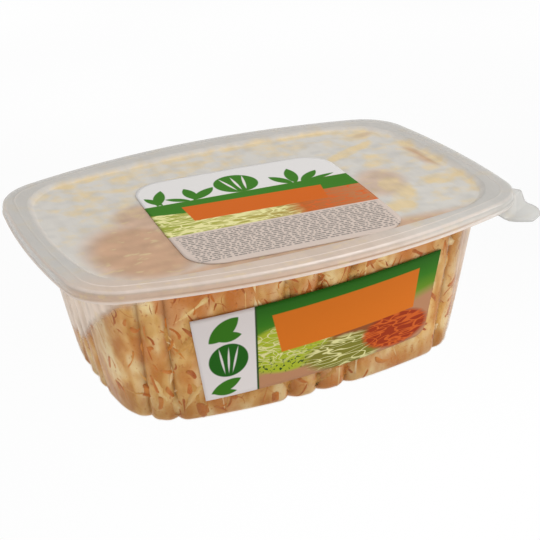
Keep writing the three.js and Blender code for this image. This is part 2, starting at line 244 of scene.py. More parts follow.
def plain_ring(outline: Outline, by: float, z: float, places: np.ndarray) -> np.ndarray:
    """A level ring on an outline.

    Args:
        outline: The outline.
        by: How much it is grown first.
        z: The ring's height.
        places: Places of its points along the first quarter.

    Returns:
        The whole ring.
    """
    grown = outline.grown(by)
    flat, _ = grown.at(grown.run_at_place(places))
    return full_ring(np.column_stack([flat, np.full(len(places), z)]))


def rounded(rings: list[np.ndarray], reach: float, steps: int = 3) -> list[np.ndarray]:
    """Rings with each corner of their profile eased by a short curve.

    Args:
        rings: Rings of equal count, in order along the profile.
        reach: Distance from a corner at which its curve starts, in millimetres.
        steps: Count of faces along each curve.

    Returns:
        The rings in order, with more of them at each corner.
    """
    eased = [rings[0]]
    for before, corner, after in zip(rings, rings[1:], rings[2:]):
        back, onward = before - corner, after - corner
        back_length = np.maximum(np.linalg.norm(back, axis=1, keepdims=True), 1e-6)
        onward_length = np.maximum(np.linalg.norm(onward, axis=1, keepdims=True), 1e-6)
        start = corner + back * np.minimum(0.45, reach / back_length)
        end = corner + onward * np.minimum(0.45, reach / onward_length)
        for t in np.linspace(0, 1, steps + 1):
            eased.append((1 - t) ** 2 * start + 2 * t * (1 - t) * corner + t**2 * end)
    eased.append(rings[-1])
    return eased


@dataclass
class Shape:
    """Points in millimetres and faces of a mesh to be."""

    points: np.ndarray
    faces: list[tuple[int, ...]]

    def to_object(self, name: str, smooth: bool = True) -> bpy.types.Object:
        """Make the mesh object, in metres, and put it in the scene.

        Args:
            name: Name of the piece.
            smooth: Whether its faces are shaded smooth.

        Returns:
            The new object.
        """
        mesh = bpy.data.meshes.new(name)
        mesh.from_pydata((self.points * MM).tolist(), [], self.faces)
        mesh.validate()
        mesh.polygons.foreach_set("use_smooth", [smooth] * len(mesh.polygons))
        piece = bpy.data.objects.new(name, mesh)
        bpy.context.collection.objects.link(piece)
        return piece


def skinned(rings: list[np.ndarray]) -> Shape:
    """Closed body over rings, each end closed to its middle.

    Args:
        rings: Rings of equal count, in order.

    Returns:
        The body.
    """
    count = len(rings[0])
    points = np.concatenate([*rings, [rings[0].mean(axis=0)], [rings[-1].mean(axis=0)]])
    first = len(rings) * count
    here = np.arange(count)
    onward = (here + 1) % count
    faces: list[tuple[int, ...]] = [(first, b, a) for a, b in zip(here.tolist(), onward.tolist())]
    for row in range(len(rings) - 1):
        low, high = row * count, (row + 1) * count
        block = np.column_stack([low + here, low + onward, high + onward, high + here])
        faces.extend(map(tuple, block.tolist()))
    top = (len(rings) - 1) * count
    faces.extend((first + 1, top + a, top + b) for a, b in zip(here.tolist(), onward.tolist()))
    return Shape(points, faces)


def tubes(sections: np.ndarray) -> Shape:
    """Many closed tubes at once.

    Args:
        sections: Points by tube, section along the tube and corner of the section.

    Returns:
        One shape that holds all the tubes, each end closed by one face.
    """
    count, rows, corners, _ = sections.shape
    index = np.arange(count * rows * corners).reshape(count, rows, corners)
    here, side = index, np.roll(index, -1, axis=2)
    quads = np.stack([here[:, :-1], side[:, :-1], side[:, 1:], here[:, 1:]], axis=-1)
    faces = list(map(tuple, quads.reshape(-1, 4).tolist()))
    faces.extend(map(tuple, index[:, 0, ::-1].tolist()))
    faces.extend(map(tuple, index[:, -1].tolist()))
    return Shape(sections.reshape(-1, 3), faces)


def tapered(stations: int, blunt: int) -> tuple[np.ndarray, np.ndarray]:
    """Stations along a strip.

    Args:
        stations: Count of stations, which lie closer together at the ends.
        blunt: How blunt the ends are.

    Returns:
        Places of the stations, from minus a half to a half, and the share of the strip's width
        at each, both with a second axis of one.
    """
    along = -np.cos(np.linspace(0, np.pi, stations))[:, None] / 2
    return along, np.sqrt(1 - np.abs(2 * along * 0.985) ** blunt)


def per_strip(drawn: list[np.ndarray]) -> list[np.ndarray]:
    """Numbers of each strip, shaped to spread over its stations and their corners."""
    return [numbers[:, None, None] for numbers in drawn]


def points_of(piece: bpy.types.Object) -> np.ndarray:
    """Places x, y and z of a piece's points, in millimetres."""
    return np.array([point.co for point in piece.data.vertices]).T / MM


def set_value(piece: bpy.types.Object, name: str, values: np.ndarray) -> None:
    """Store one number for each point of a piece under a name that its material reads."""
    store = piece.data.attributes.new(name, "FLOAT", "POINT")
    store.data.foreach_set("value", np.asarray(values, dtype=np.float32).ravel())


def set_face_map(piece: bpy.types.Object, flat: np.ndarray) -> None:
    """Store flat places as the map that a piece's print follows.

    Args:
        piece: The piece.
        flat: Place of each of its points on the label, in millimetres.
    """
    layer = piece.data.uv_layers.new(name="face")
    loops = np.zeros(len(piece.data.loops), dtype=np.int32)
    piece.data.loops.foreach_get("vertex_index", loops)
    layer.data.foreach_set("uv", (flat[loops] / FACE_SCALE).astype(np.float32).ravel())


# ---- materials ----------------------------------------------------------------------------


def linear(code: str) -> tuple[float, float, float, float]:
    """Linear colour of an sRGB code.

    Args:
        code: A hash sign and six hex digits.

    Returns:
        Shares of red, green and blue, and full cover.
    """
    shares = [int(code[k : k + 2], 16) / 255 for k in (1, 3, 5)]
    bent = [s / 12.92 if s <= 0.04045 else ((s + 0.055) / 1.055) ** 2.4 for s in shares]
    return (bent[0], bent[1], bent[2], 1.0)


class Finish:
    """A material under way, built up node by node."""

    def __init__(self, name: str) -> None:
        """Start an empty material.

        Args:
            name: The material's name.
        """
        self.material = bpy.data.materials.new(name)
        self.material.use_nodes = True
        self.tree = self.material.node_tree
        self.tree.nodes.clear()

    def add(
        self,
        kind: str,
        inputs: dict[int | str, Any] | None = None,
        stops: list[tuple[float, str]] | None = None,
        **settings: Any,
    ) -> Any:
        """Add a node with its settings and links.

        Args:
            kind: Blender's name for the node's type, without the prefix they all share.
            inputs: Value or output socket for each input, by name or number.
            stops: Places and sRGB colours of a colour ramp.
            settings: Further settings of the node.

        Returns:
            The node's outputs.
        """
        node = self.tree.nodes.new("ShaderNode" + kind)
        for key, value in settings.items():
            setattr(node, key, value)
        for key, value in (inputs or {}).items():
            if isinstance(value, bpy.types.NodeSocket):
                self.tree.links.new(value, node.inputs[key])
            else:
                node.inputs[key].default_value = value
        if stops:
            band = node.color_ramp.elements
            while len(band) < len(stops):
                band.new(0.5)
            for element, (place, code) in zip(band, stops):
                element.position, element.color = place, linear(code)
        return node.outputs

    def blotches(self, size: float, detail: float = 2.0, stretch: Triple = (1, 1, 1)) -> Any:
        """Noise over the piece, about a half on average.

        Args:
            size: Usual size of its blotches in millimetres.
            detail: Levels of finer noise.
            stretch: How much longer the blotches are along each axis.

        Returns:
            The noise's socket.
        """
        scale = tuple(1 / (size * MM * part) for part in stretch)
        place = {0: self.add("TexCoord")["Object"], 1: scale}
        place = self.add("VectorMath", place, operation="MULTIPLY")[0]
        return self.add("TexNoise", {"Vector": place, "Scale": 1.0, "Detail": detail})["Fac"]

    def patchy(
        self, noise: Any, rise: Pair, most: float, least: float = 0.0, where: Any = 1.0
    ) -> Any:
        """Share of a layer that comes and goes with a noise.

        Args:
            noise: The noise's socket.
            rise: Noise at which the layer starts, and at which it is full.
            most: Its share where it is full.
            least: Its share where the noise is low.
            where: Mask that it is kept to.

        Returns:
            The share's socket.
        """
        share = self.add("MapRange", {0: noise, 1: rise[0], 2: rise[1], 3: least, 4: most})[0]
        return self.add("Math", {0: share, 1: where}, operation="MULTIPLY")[0]

    def coated(self, colour: Any, coats: list[tuple[Any, Any]]) -> Any:
        """Colour with coats laid over it in order.

        Args:
            colour: The colour below, as a socket or in linear shares.
            coats: Share and colour of each coat, the colour as a socket or an sRGB code.

        Returns:
            The coated colour's socket.
        """
        for share, over in coats:
            inputs = {0: share, 6: colour, 7: linear(over) if isinstance(over, str) else over}
            colour = self.add("Mix", inputs, data_type="RGBA")[2]
        return colour

    def glazed(self, colour: Any, gloss: Triple, relief: Any, height: float) -> bpy.types.Material:
        """Close the material as an opaque surface under a clear gloss.

        Args:
            colour: Socket of its colour.
            gloss: Its roughness, IOR and specular level.
            relief: Socket of the noise that lifts it.
            height: Height of that relief in millimetres.

        Returns:
            The finished material.
        """
        inputs = dict(zip(("Roughness", "IOR", "Specular IOR Level"), gloss))
        inputs["Base Color"] = colour
        inputs["Normal"] = self.add("Bump", {"Height": relief, "Distance": height * MM})[0]
        return self.ending(self.add("BsdfPrincipled", inputs)[0])

    def ending(self, shader: Any) -> bpy.types.Material:
        """Send a shader to the surface and hand the material over."""
        self.add("OutputMaterial", {"Surface": shader})
        return self.material


@dataclass(frozen=True)
class PolypropyleneSheet:
    """Thermoformed polypropylene: clear to milky sheet with a soft moulded gloss."""

    name: str
    body: str  # colour of the milkiness
    tint: str  # colour of light that a bare face lets through
    haze: float  # share of light that a face stops where the sheet is bare
    film: float  # share stopped where dressing or damp lies on it
    fog: str  # colour of the damp
    roughness: float
    ripple: float  # height of the sheet's waviness in millimetres
    shine: float  # share of light reflected at grazing angles
    streaks: Triple  # how the damp is drawn out along each axis
    painted_highlight_colour: str  # colour of painted highlights along marked edges, bends and lines
    touch_colour: str = "#e8bf9c"  # salad that lies close behind
    dab_colour: str = "#f6dfae"  # dressing that clings to the sheet
    damp_size: float = 5.5  # these four are blotch sizes in millimetres
    dab_size: float = 6.0
    fleck_size: float = 3.0
    wave_size: float = 14.0

    def build(self) -> bpy.types.Material:
        """Make the material. Its bare sheet is see-through, with a thin milky cast that hides
        what lies further behind it, and a gloss that rises towards grazing angles.

        Returns:
            The finished material.
        """
        finish = Finish(self.name)
        film, touch, dab, edge = (
            finish.add("Attribute", attribute_name=name)["Fac"]
            for name in ("film", "touch", "dab", "edge")
        )
        damp = finish.blotches(self.damp_size, 3, self.streaks)
        damp = finish.patchy(damp, (0.32, 0.6), 1.0, 0.78, film)
        cover = finish.add("MapRange", {0: damp, 3: self.haze, 4: self.film})[0]
        # Painted highlight: where the edge mark is set, the sheet turns more milky and takes the
        # highlight colour.
        thick = finish.add("Math", {0: edge, 1: 0.8}, operation="MULTIPLY")[0]
        cover = finish.add("Math", {0: cover, 1: thick}, operation="MAXIMUM")[0]
        ragged = {0: dab, 1: 0.35, 2: finish.blotches(self.dab_size, 4)}
        ragged = finish.add("Math", ragged, operation="MULTIPLY_ADD")[0]
        flecks = finish.blotches(self.fleck_size, 2, (2.0, 1.0, 1.0))
        coats = [
            (film, self.fog),
            (touch, self.touch_colour),
            (finish.patchy(ragged, (0.54, 0.84), 0.9, where=film), self.dab_colour),
            (finish.patchy(flecks, (0.61, 0.67), 0.85, where=touch), self.dab_colour),
            (edge, self.painted_highlight_colour),
        ]
        colour = finish.coated(linear(self.body), coats)
        waves = {"Height": finish.blotches(self.wave_size, 1), "Distance": self.ripple * MM}
        normal = finish.add("Bump", waves)[0]
        skin = finish.add("BsdfDiffuse", {"Color": colour, "Normal": normal})[0]
        through = finish.add("BsdfTranslucent", {"Color": colour})[0]
        milk = finish.add("MixShader", {0: 0.15, 1: skin, 2: through})[0]
        clear = finish.add("BsdfTransparent", {"Color": linear(self.tint)})[0]
        sheet = finish.add("MixShader", {0: cover, 1: clear, 2: milk})[0]
        facing = finish.add("LayerWeight", {"Blend": 0.5})["Facing"]
        grazing = finish.add("Math", {0: facing, 1: 4.0}, operation="POWER")[0]
        grazing = finish.add("MapRange", {0: grazing, 3: 0.05 * self.shine, 4: self.shine})[0]
        gloss = finish.add("BsdfGlossy", {"Roughness": self.roughness, "Normal": normal})[0]
        return finish.ending(finish.add("MixShader", {0: grazing, 1: sheet, 2: gloss})[0])


@dataclass(frozen=True)
class Dressing:
    """Mayonnaise dressing with carrot juice in it: creamy, smooth, tan to orange in patches."""

    name: str
    cream: tuple[str, str, str]  # from shaded to light
    stain_and_shade: str  # colour of carrot juice where it has run, also painted as shade near the heel and in the grooves
    stain_share: float
    fleck: str = "#c0692a"  # finest carrot bits
    cream_size: float = 7.0  # these four are blotch sizes in millimetres
    stain_size: float = 12.0
    fleck_size: float = 1.3  # coarser than the real bits, so that they show
    lump_size: float = 2.5

    def build(self) -> bpy.types.Material:
        """Make the material. Soft patches and a moist sheen show an emulsion, not a paint.

        Returns:
            The finished material.
        """
        finish = Finish(self.name)
        soft = finish.blotches(self.cream_size, 2, (1, 1, 2))
        cream = finish.add("ValToRGB", {0: soft}, list(zip((0.36, 0.5, 0.64), self.cream)))[0]
        # The low mark is painted shade: darker brown towards the bottom, in the grooves and at both
        # ends. The stain mark holds carrot juice, and also painted shade near the heel and in the
        # grooves.
        stain_and_shade, low = (
            finish.add("Attribute", attribute_name=name)["Fac"] for name in ("stain_and_shade", "low")
        )
        wide = finish.blotches(self.stain_size, 3, (1, 1, 1.6))
        bits = finish.blotches(self.fleck_size, 1)
        coats = [
            (finish.patchy(wide, (0.44, 0.56), self.stain_share, where=stain_and_shade), self.stain_and_shade),
            (finish.patchy(bits, (0.66, 0.72), 0.55), self.fleck),
            (low, PAINTED_SHADE_BROWN),
        ]
        lumps = finish.blotches(self.lump_size)
        return finish.glazed(finish.coated(cream, coats), (0.38, 1.46, 0.15), lumps, 0.3)


@dataclass(frozen=True)
class CutVegetable:
    """Shredded raw vegetable in dressing: each strip has its own shade, with fine fibres."""

    name: str
    shades: list[tuple[float, str]]
    coat: str
    coat_share: float
    bed: str  # what a strip's edges fade into
    bed_share: float = 0.85
    fibre_size: float = 1.1  # coarser than the real ones, so that they show
    cloud_size: float = 4.5  # dressing that lies on part of a strip
    grain_size: float = 0.8

    def build(self) -> bpy.types.Material:
        """Make the material. Wet strips shine softly and dressing clouds part of each.

        Returns:
            The finished material.
        """
        finish = Finish(self.name)
        own, rim, low = (
            finish.add("Attribute", attribute_name=name)["Fac"] for name in ("shade", "rim", "low")
        )
        fibre = finish.patchy(finish.blotches(self.fibre_size), (0.3, 0.7), 0.12, -0.12)
        shade = finish.add("Math", {0: own, 1: fibre})[0]
        shade = finish.add("ValToRGB", {0: shade}, self.shades)[0]
        cloud = finish.patchy(finish.blotches(self.cloud_size), (0.42, 0.66), self.coat_share)
        rim = finish.add("Math", {0: rim, 1: self.bed_share}, operation="MULTIPLY")[0]
        # The low mark lays painted shade: darker brown towards the bottom and at both ends.
        coats = [(cloud, self.coat), (rim, self.bed), (low, PAINTED_SHADE_BROWN)]
        grain = finish.blotches(self.grain_size, 1)
        return finish.glazed(finish.coated(shade, coats), (0.34, 1.38, 0.2), grain, 0.12)


class Ink(Enum):
    """Inks of the two labels."""

    WHITE = "#e2dad7"
    COOL_WHITE = "#dad7d4"
    BEIGE = "#cdbdb1"
    DEEP_GREEN = "#1c5f0a"
    LEAF_GREEN = "#35740f"
    ORANGE = "#d97216"
    DEEP_ORANGE = "#ca600a"
    PALE = "#e0da9a"
    OLIVE = "#7f7b2b"
    YELLOW_GREEN = "#a9b52c"
    CARROT = "#9c3208"
    GINGER = "#cf5e1e"
    BROWN = "#8f4f28"
    WOOD = "#b88460"
    GREY = "#837c76"
    DARK = "#2c4a1a"


class Print:
    """Inks laid one over another on a label's face, placed in millimetres."""

    def __init__(self, name: str, paper: Ink) -> None:
        """Start from bare paper.

        Args:
            name: The material's name.
            paper: The paper's own colour.
        """
        self.finish = Finish(name)
        flat = self.finish.add("UVMap", uv_map="face")[0]
        flat = {0: flat, "Scale": FACE_SCALE}
        self.here = self.finish.add("VectorMath", flat, operation="SCALE")[0]
        self.x, self.y, _ = self.finish.add("SeparateXYZ", {0: self.here})
        self.colour: Any = linear(paper.value)

    def lay(self, ink: Any, *masks: Any) -> None:
        """Lay an ink where all the masks are one.

        Args:
            ink: The ink, or the socket of a colour.
            masks: The masks' sockets.
        """
        mask = masks[0]
        for other in masks[1:]:
            mask = self.finish.add("Math", {0: mask, 1: other}, operation="MULTIPLY")[0]
        over = ink.value if isinstance(ink, Ink) else ink
        self.colour = self.finish.coated(self.colour, [(mask, over)])

    def past(self, value: Any, start: float, end: float) -> Any:
        """Mask that rises from 0 where a value is at `start` to 1 at `end`."""
        return self.finish.add("MapRange", {0: value, 1: start, 2: end})[0]

    def above(self, slope: float, low: float, high: float) -> Any:
        """Mask that rises from `low` to `high` over a line with this slope."""
        line = {0: self.x, 1: -slope, 2: self.y}
        return self.past(self.finish.add("Math", line, operation="MULTIPLY_ADD")[0], low, high)

    def patch(self, corners: list[Pair], soft: float = 0.3) -> Any:
        """Mask of a convex patch.

        Args:
            corners: Its corners, counter-clockwise.
            soft: Width of its edge.

        Returns:
            The mask's socket.
        """
        depths = []
        for (ax, ay), (bx, by) in zip(corners, corners[1:] + corners[:1]):
            length = math.hypot(bx - ax, by - ay)
            normal = ((ay - by) / length, (bx - ax) / length, 0.0)
            dot = {0: self.here, 1: normal}
            ahead = self.finish.add("VectorMath", dot, operation="DOT_PRODUCT")[1]
            start = normal[0] * ax + normal[1] * ay
            depths.append(self.finish.add("Math", {0: ahead, 1: start}, operation="SUBTRACT")[0])
        inside = depths[0]
        for depth in depths[1:]:
            inside = self.finish.add("Math", {0: inside, 1: depth}, operation="MINIMUM")[0]
        return self.past(inside, -soft / 2, soft / 2)

    def disc(self, centre: Pair, radii: Pair, soft: float = 0.3) -> Any:
        """Mask of an upright ellipse.

        Args:
            centre: Its middle.
            radii: Half its width and half its height.
            soft: Width of its edge.

        Returns:
            The mask's socket.
        """
        away = {0: self.here, 1: (*centre, 0.0)}
        away = self.finish.add("VectorMath", away, operation="SUBTRACT")[0]
        even = {0: away, 1: (1 / radii[0], 1 / radii[1], 0.0)}
        even = self.finish.add("VectorMath", even, operation="MULTIPLY")[0]
        far = self.finish.add("VectorMath", {0: even}, operation="LENGTH")[1]
        edge = soft / (2 * min(radii))
        return self.past(far, 1 + edge, 1 - edge)

    def leaf(self, ink: Ink, foot: Pair, tip: Pair, width: float) -> None:
        """Lay a pointed leaf, which lies where two discs meet.

        Args:
            ink: Its ink.
            foot: Where the leaf starts.
            tip: Where it ends.
            width: Its widest.
        """
        across = np.array([foot[1] - tip[1], tip[0] - foot[0]])
        chord = float(np.hypot(*across))
        across = across / chord
        sag = width / 2
        radius = (chord**2 / 4 + sag**2) / (2 * sag)
        middle = (np.array(foot) + np.array(tip)) / 2
        centres = [(middle + side * (radius - sag) * across).tolist() for side in (-1, 1)]
        self.lay(ink, *(self.disc(tuple(centre), (radius, radius)) for centre in centres))

    def cabbage(self, ink: Ink, centre: Pair, radii: Pair, veins: Triple) -> None:
        """Lay a cabbage head with three white veins.

        Args:
            ink: Its green.
            centre: Its middle.
            radii: Half its width and half its height.
            veins: Half the veins' height, how far apart their tips are, and their width.
        """
        x, y = centre
        half, apart, width = veins
        self.lay(ink, self.disc(centre, radii))
        for shift in (-apart, 0.0, apart):
            self.leaf(Ink.WHITE, (x + 0.4 * shift, y - half), (x + shift, y + half), width)

    def tangle(self, ink: Ink, masks: list[Any], turns: dict[int, float], strand: Triple) -> None:
        """Lay tangles of thin curved strands, drawn as the level lines of long noise.

        Args:
            ink: Their ink.
            masks: Masks that they are kept to.
            turns: Heading of each tangle in degrees, by the number that sets it apart.
            strand: Distance between strands, and their length and width.
        """
        apart, length, width = strand
        reach = 0.1 * width / apart
        for layer, turn in turns.items():
            inputs = {
                "Vector": self.here,
                "Location": (layer * 17.0, layer * 31.0, 0.0),
                "Rotation": (0.0, 0.0, math.radians(-turn)),
                "Scale": (1 / length, 1 / apart, 1.0),
            }
            laid = self.finish.add("Mapping", inputs)[0]
            inputs = {"Vector": laid, "Scale": 1.0, "Detail": 1.0, "Distortion": 0.35}
            noise = self.finish.add("TexNoise", inputs)["Fac"]
            away = self.finish.add("Math", {0: noise, 1: 0.5}, operation="SUBTRACT")[0]
            away = self.finish.add("Math", {0: away}, operation="ABSOLUTE")[0]
            self.lay(ink, *masks, self.past(away, reach, 0.4 * reach))

    def paper(self) -> bpy.types.Material:
        """Close the print as varnished label paper, whose thin clear coat gives an even sheen.
        Its fibres are coarser than real ones, so that they show.
        """
        return self.finish.glazed(self.colour, (0.5, 1.5, 0.12), self.finish.blotches(0.7), 0.02)


# ---- the tub's wall -----------------------------------------------------------------------


@dataclass
class FlutedWall:
    """The tapering fluted wall that the tub, the salad and the front label share."""

    mouth: Outline = field(default_factory=lambda: Outline(72.8, 51.0, 360.0, 171.0, 21.5))
    base: Outline = field(default_factory=lambda: Outline(63.4, 46.4, 216.0, 225.0, 23.5))
    height: float = 54.6
    heel: float = 3.2
    groove: float = 2.5  # depth at the base
    groove_at_mouth: float = 1.25
    flank: float = 4.1  # distance over which a groove rises to its lobes
    short_grooves: tuple[Pair, ...] = ((9.0, 9.9),)  # places at the base and at the mouth
    long_grooves: tuple[Pair, ...] = ((57.5, 61.2), (49.2, 53.0), (10.5, 12.4))
    flank_steps: tuple[float, ...] = (0.12, 0.3, 0.55, 0.9, 1.3, 1.8, 2.4, 3.1, 3.9)
    plain_steps: tuple[int, ...] = (1, 34, 0, 26, 2)  # stations between one groove and the next

    def outline(self, z: Any) -> Outline:
        """Outer outline at a height, grooves left out."""
        return self.base.towards(self.mouth, z / self.height)

    def grooves(self, z: Any) -> list[np.ndarray]:
        """Where the grooves' bottoms lie along the first quarter.

        Args:
            z: Height.

        Returns:
            The run of each.
        """
        outline = self.outline(z)
        share = z / self.height
        short = [outline.run_at_y(mixed(low, top, share)) for low, top in self.short_grooves]
        long = [outline.run_at_x(mixed(low, top, share)) for low, top in self.long_grooves]
        return [0.0 * outline.quarter_run, *short, *long, outline.quarter_run]

    def cut(self, run: np.ndarray, z: Any) -> np.ndarray:
        """How deep in a groove a run lies: 0 on a lobe, 1 at a groove's bottom."""
        return sum(np.clip(1 - np.abs(run - g) / self.flank, 0, None) ** 2 for g in self.grooves(z))

    def on_quarter(self, run: np.ndarray, z: np.ndarray, inset: Any) -> np.ndarray:
        """Points of the first quarter of the wall.

        Args:
            run: Distance along the outline.
            z: Height.
            inset: How far inside the outer face the point lies.

        Returns:
            Points, with a last axis of three.
        """
        depth = self.cut(run, z) * mixed(self.groove, self.groove_at_mouth, z / self.height)
        radius = self.heel - inset
        below = np.clip(np.minimum(self.heel - z, radius), 0, None)
        heel = radius - np.sqrt(np.clip(radius**2 - below**2, 0, None))
        flat, normal = self.outline(z).at(run)
        flat = flat - np.asarray(inset + heel + depth)[..., None] * normal
        return np.concatenate([flat, np.broadcast_to(z, run.shape)[..., None]], axis=-1)

    def at(self, turn: np.ndarray, z: np.ndarray, inset: Any) -> np.ndarray:
        """Points anywhere round the wall.

        Args:
            turn: Place round the wall, one for each quarter, from the right end.
            z: Height.
            inset: How far inside the outer face the point lies.

        Returns:
            Points, with a last axis of three.
        """
        turn, z = np.broadcast_arrays(np.mod(turn, 4), z)
        quarter = np.floor(turn).astype(int)
        part = turn - quarter
        part = np.where(quarter % 2 == 1, 1 - part, part)
        point = self.on_quarter(part * self.outline(z).quarter_run, z, inset)
        point[..., 0] *= np.where((quarter == 1) | (quarter == 2), -1, 1)
        point[..., 1] *= np.where(quarter >= 2, -1, 1)
        return point

    def groove_share(self) -> np.ndarray:
        """How deep in a groove each station lies, all round: 0 on a lobe, 1 at the bottom."""
        runs = self.stations(self.height / 2)
        return full_ring(np.column_stack([runs, runs, self.cut(runs, self.height / 2)]))[:, 2]

    def stations(self, z: np.ndarray | float) -> np.ndarray:
        """Where the mesh has its stations, close together in the grooves.

        Args:
            z: Height.

        Returns:
            Their runs along the first quarter.
        """
        grooves = self.grooves(z)
        steps = np.array([0.0, *self.flank_steps])
        runs: list[Any] = [grooves[0]]
        for count, groove, onward in zip(self.plain_steps, grooves, grooves[1:]):
            start, end = groove + steps[-1], onward - steps[-1]
            runs.extend(groove + step for step in steps[1:])
            runs.extend(mixed(start, end, (j + 1) / (count + 1)) for j in range(count))
            runs.extend(onward - step for step in steps[::-1])
        return np.array(runs)

    def ring(self, z: float, inset: Any) -> np.ndarray:
        """The wall's ring at one height."""
        runs = self.stations(z)
        return full_ring(self.on_quarter(runs, np.full(len(runs), z), inset))

    def draped_ring(self, z: np.ndarray, inset: Any) -> np.ndarray:
        """A ring round the wall that isn't level.

        Args:
            z: Height of each of its points, all round.
            inset: How far inside the outer face they lie.

        Returns:
            The whole ring.
        """
        index = np.arange(len(self.stations(0.0)))
        ones = np.ones_like(index)
        marks = full_ring(np.column_stack([ones, ones, index]))
        order = marks[:, 2].copy()
        marks[:, 2] = 1
        low, high = self.stations(0.0)[order], self.stations(self.height)[order]
        return self.on_quarter(mixed(low, high, z / self.height), z, inset) * marks


# ---- the salad's surface ------------------------------------------------------------------


@dataclass
class SaladSurface:
    """Height of the salad over the tub: high at the front, low at the back, a pocket at left."""

    level: float = 52.6
    back_drop: float = 9.0
    back: Pair = (-8.0, 34.0)  # y over which it falls to the back
    pocket_drop: float = 32.0
    pocket_depth: Pair = (-54.0, 8.0)  # y over which the pocket deepens
    pocket_end: Pair = (-68.0, -44.0)  # x over which the pocket ends
    lowest: float = 15.0
    ceiling: float = 55.55

    def height(self, x: np.ndarray, y: np.ndarray) -> np.ndarray:
        """Height of the surface.

        Args:
            x: Places of the points, in millimetres.
            y: The same.

        Returns:
            Their heights.
        """
        back = self.back_drop * smoothstep(y, *self.back)
        pocket = self.pocket_drop * smoothstep(y, *self.pocket_depth)
        pocket *= 1 - smoothstep(x, *self.pocket_end)
        lumps = np.sin(0.13 * x + 0.6) * np.cos(0.15 * y) + 0.6 * np.sin(0.3 * x - 0.2 * y)
        return np.maximum(self.lowest, self.level - back - pocket + 0.7 * lumps)


# ---- pieces -------------------------------------------------------------------------------


class Piece:
    """Helpers that every sub-assembly uses to hand its meshes to the frame."""

    @staticmethod
    def settle(
        piece: bpy.types.Object, material: bpy.types.Material, slot: str, *nodes: str
    ) -> bpy.types.Object:
        """Dress a piece, let it ride on the root body and stand for its nodes.

        Args:
            piece: The mesh object, already in place.
            material: Its material.
            slot: The record's material slot; not used.
            nodes: CAD nodes that it stands for.

        Returns:
            The same object.
        """
        piece.data.materials.append(material)
        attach(piece, "root")
        if nodes:
            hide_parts(*nodes)
        LOG.info("%s: %d faces", piece.name, len(piece.data.polygons))
        return piece


@dataclass
class Tub(Piece):
    """The thermoformed tub: base, heel, fluted wall and flange with a turned-down lip."""

    wall: FlutedWall
    surface: SaladSurface
    lid_outline: Outline
    sheet: float = 0.6
    rise: float = 1.6
    run: float = 2.7
    lip: float = 1.1
    to_skirt: float = 1.3
    heel_rings: int = 8
    wall_rings: int = 27
    ease: float = 0.35  # reach of the rounding at the flange's corners
    damp_edge: Pair = (-3.2, 0.2)  # heights over the salad at which damp starts and is full
    end_damp: Pair = (50.0, 56.0)  # x at which damp at the right end starts and is full
    end_thin: Pair = (63.0, 69.0)  # x over which it thins again
    end_height: Pair = (4.0, 48.0)  # z over which it thickens
    glint_line: Pair = (1.4, 0.5)  # place of a painted highlight line from a groove's bottom, and its width
    glints_from: float = 40.0  # x past which grooves get that painted highlight
    finish: PolypropyleneSheet = PolypropyleneSheet(
        name="clear_thermoformed_polypropylene",
        body="#e6d8c8",
        tint="#fdfcfa",
        haze=0.015,
        film=0.98,
        fog="#ffeedd",
        roughness=0.1,
        ripple=0.05,
        shine=0.24,
        streaks=(1, 1, 3),
        painted_highlight_colour="#ffe8c4",
    )

    def rings(self) -> list[np.ndarray]:
        """Profile of the tub.

        Returns:
            Rings from the base up the outside, round the flange and back down the inside.
        """
        wall, sheet = self.wall, self.sheet
        places = wall.mouth.place_at_run(wall.stations(wall.height))
        under = wall.height + self.rise
        top = under + sheet
        edge = -self.to_skirt
        heel = wall.heel * (1 - np.cos(np.linspace(0, math.pi / 2, self.heel_rings)))
        heights = [*heel, *np.linspace(wall.heel, wall.height, self.wall_rings)[1:]]
        outside = [wall.ring(z, 0.0) for z in heights]
        profile = [
            (wall.mouth, self.run, under),
            (self.lid_outline, edge - sheet, under),
            (self.lid_outline, edge - sheet, under - self.lip),
            (self.lid_outline, edge, under - self.lip),
            (self.lid_outline, edge, top),
            (wall.mouth, self.run, top),
        ]
        flange = [plain_ring(*corner, places) for corner in profile]
        flange = [outside[-1], *flange, wall.ring(wall.height, sheet)]
        inner_floor = sheet + 0.02
        inner = [z for z in heights[-2::-1] if z > inner_floor + 0.18] + [inner_floor]
        inside = [wall.ring(z, sheet) for z in inner]
        return [*outside[:-1], *rounded(flange, self.ease), *inside]

    def build(self) -> None:
        """Make the tub and mark where damp clouds it: above the salad and at the right end."""
        piece = skinned(self.rings()).to_object("tub_shell")
        x, y, z = points_of(piece)
        ragged = Unevenness(seed=3, size=9.0, dims=3).at(x, y, z)
        streaks = Unevenness(seed=4, size=5.0, dims=3).at(x, y, 0.35 * z)
        above = smoothstep(z - self.surface.height(x, y) - 0.5 * ragged, *self.damp_edge)
        cloud = np.clip(0.92 + 0.1 * streaks, 0.5, 1.0)
        at_end = smoothstep(x - 0.08 * z, *self.end_damp)
        at_end *= 1 - 0.5 * smoothstep(x, *self.end_thin)
        at_end *= mixed(0.4, 0.95, smoothstep(z, *self.end_height))
        set_value(piece, "film", np.maximum(above * cloud, at_end))
        # Painted highlight: a thin bright line beside each long groove at the right end, stored in
        # the edge mark.
        place, width = self.glint_line
        grooves = [mixed(*groove, z / self.wall.height) for groove in self.wall.long_grooves]
        glint = np.max([ridge(abs(x), groove - place, width) for groove in grooves], axis=0)
        on_wall = (x > self.glints_from) & (z > self.wall.heel) & (z < self.wall.height)
        set_value(piece, "edge", 0.4 * glint * on_wall)
        self.settle(piece, self.finish.build(), "tub", "tub")


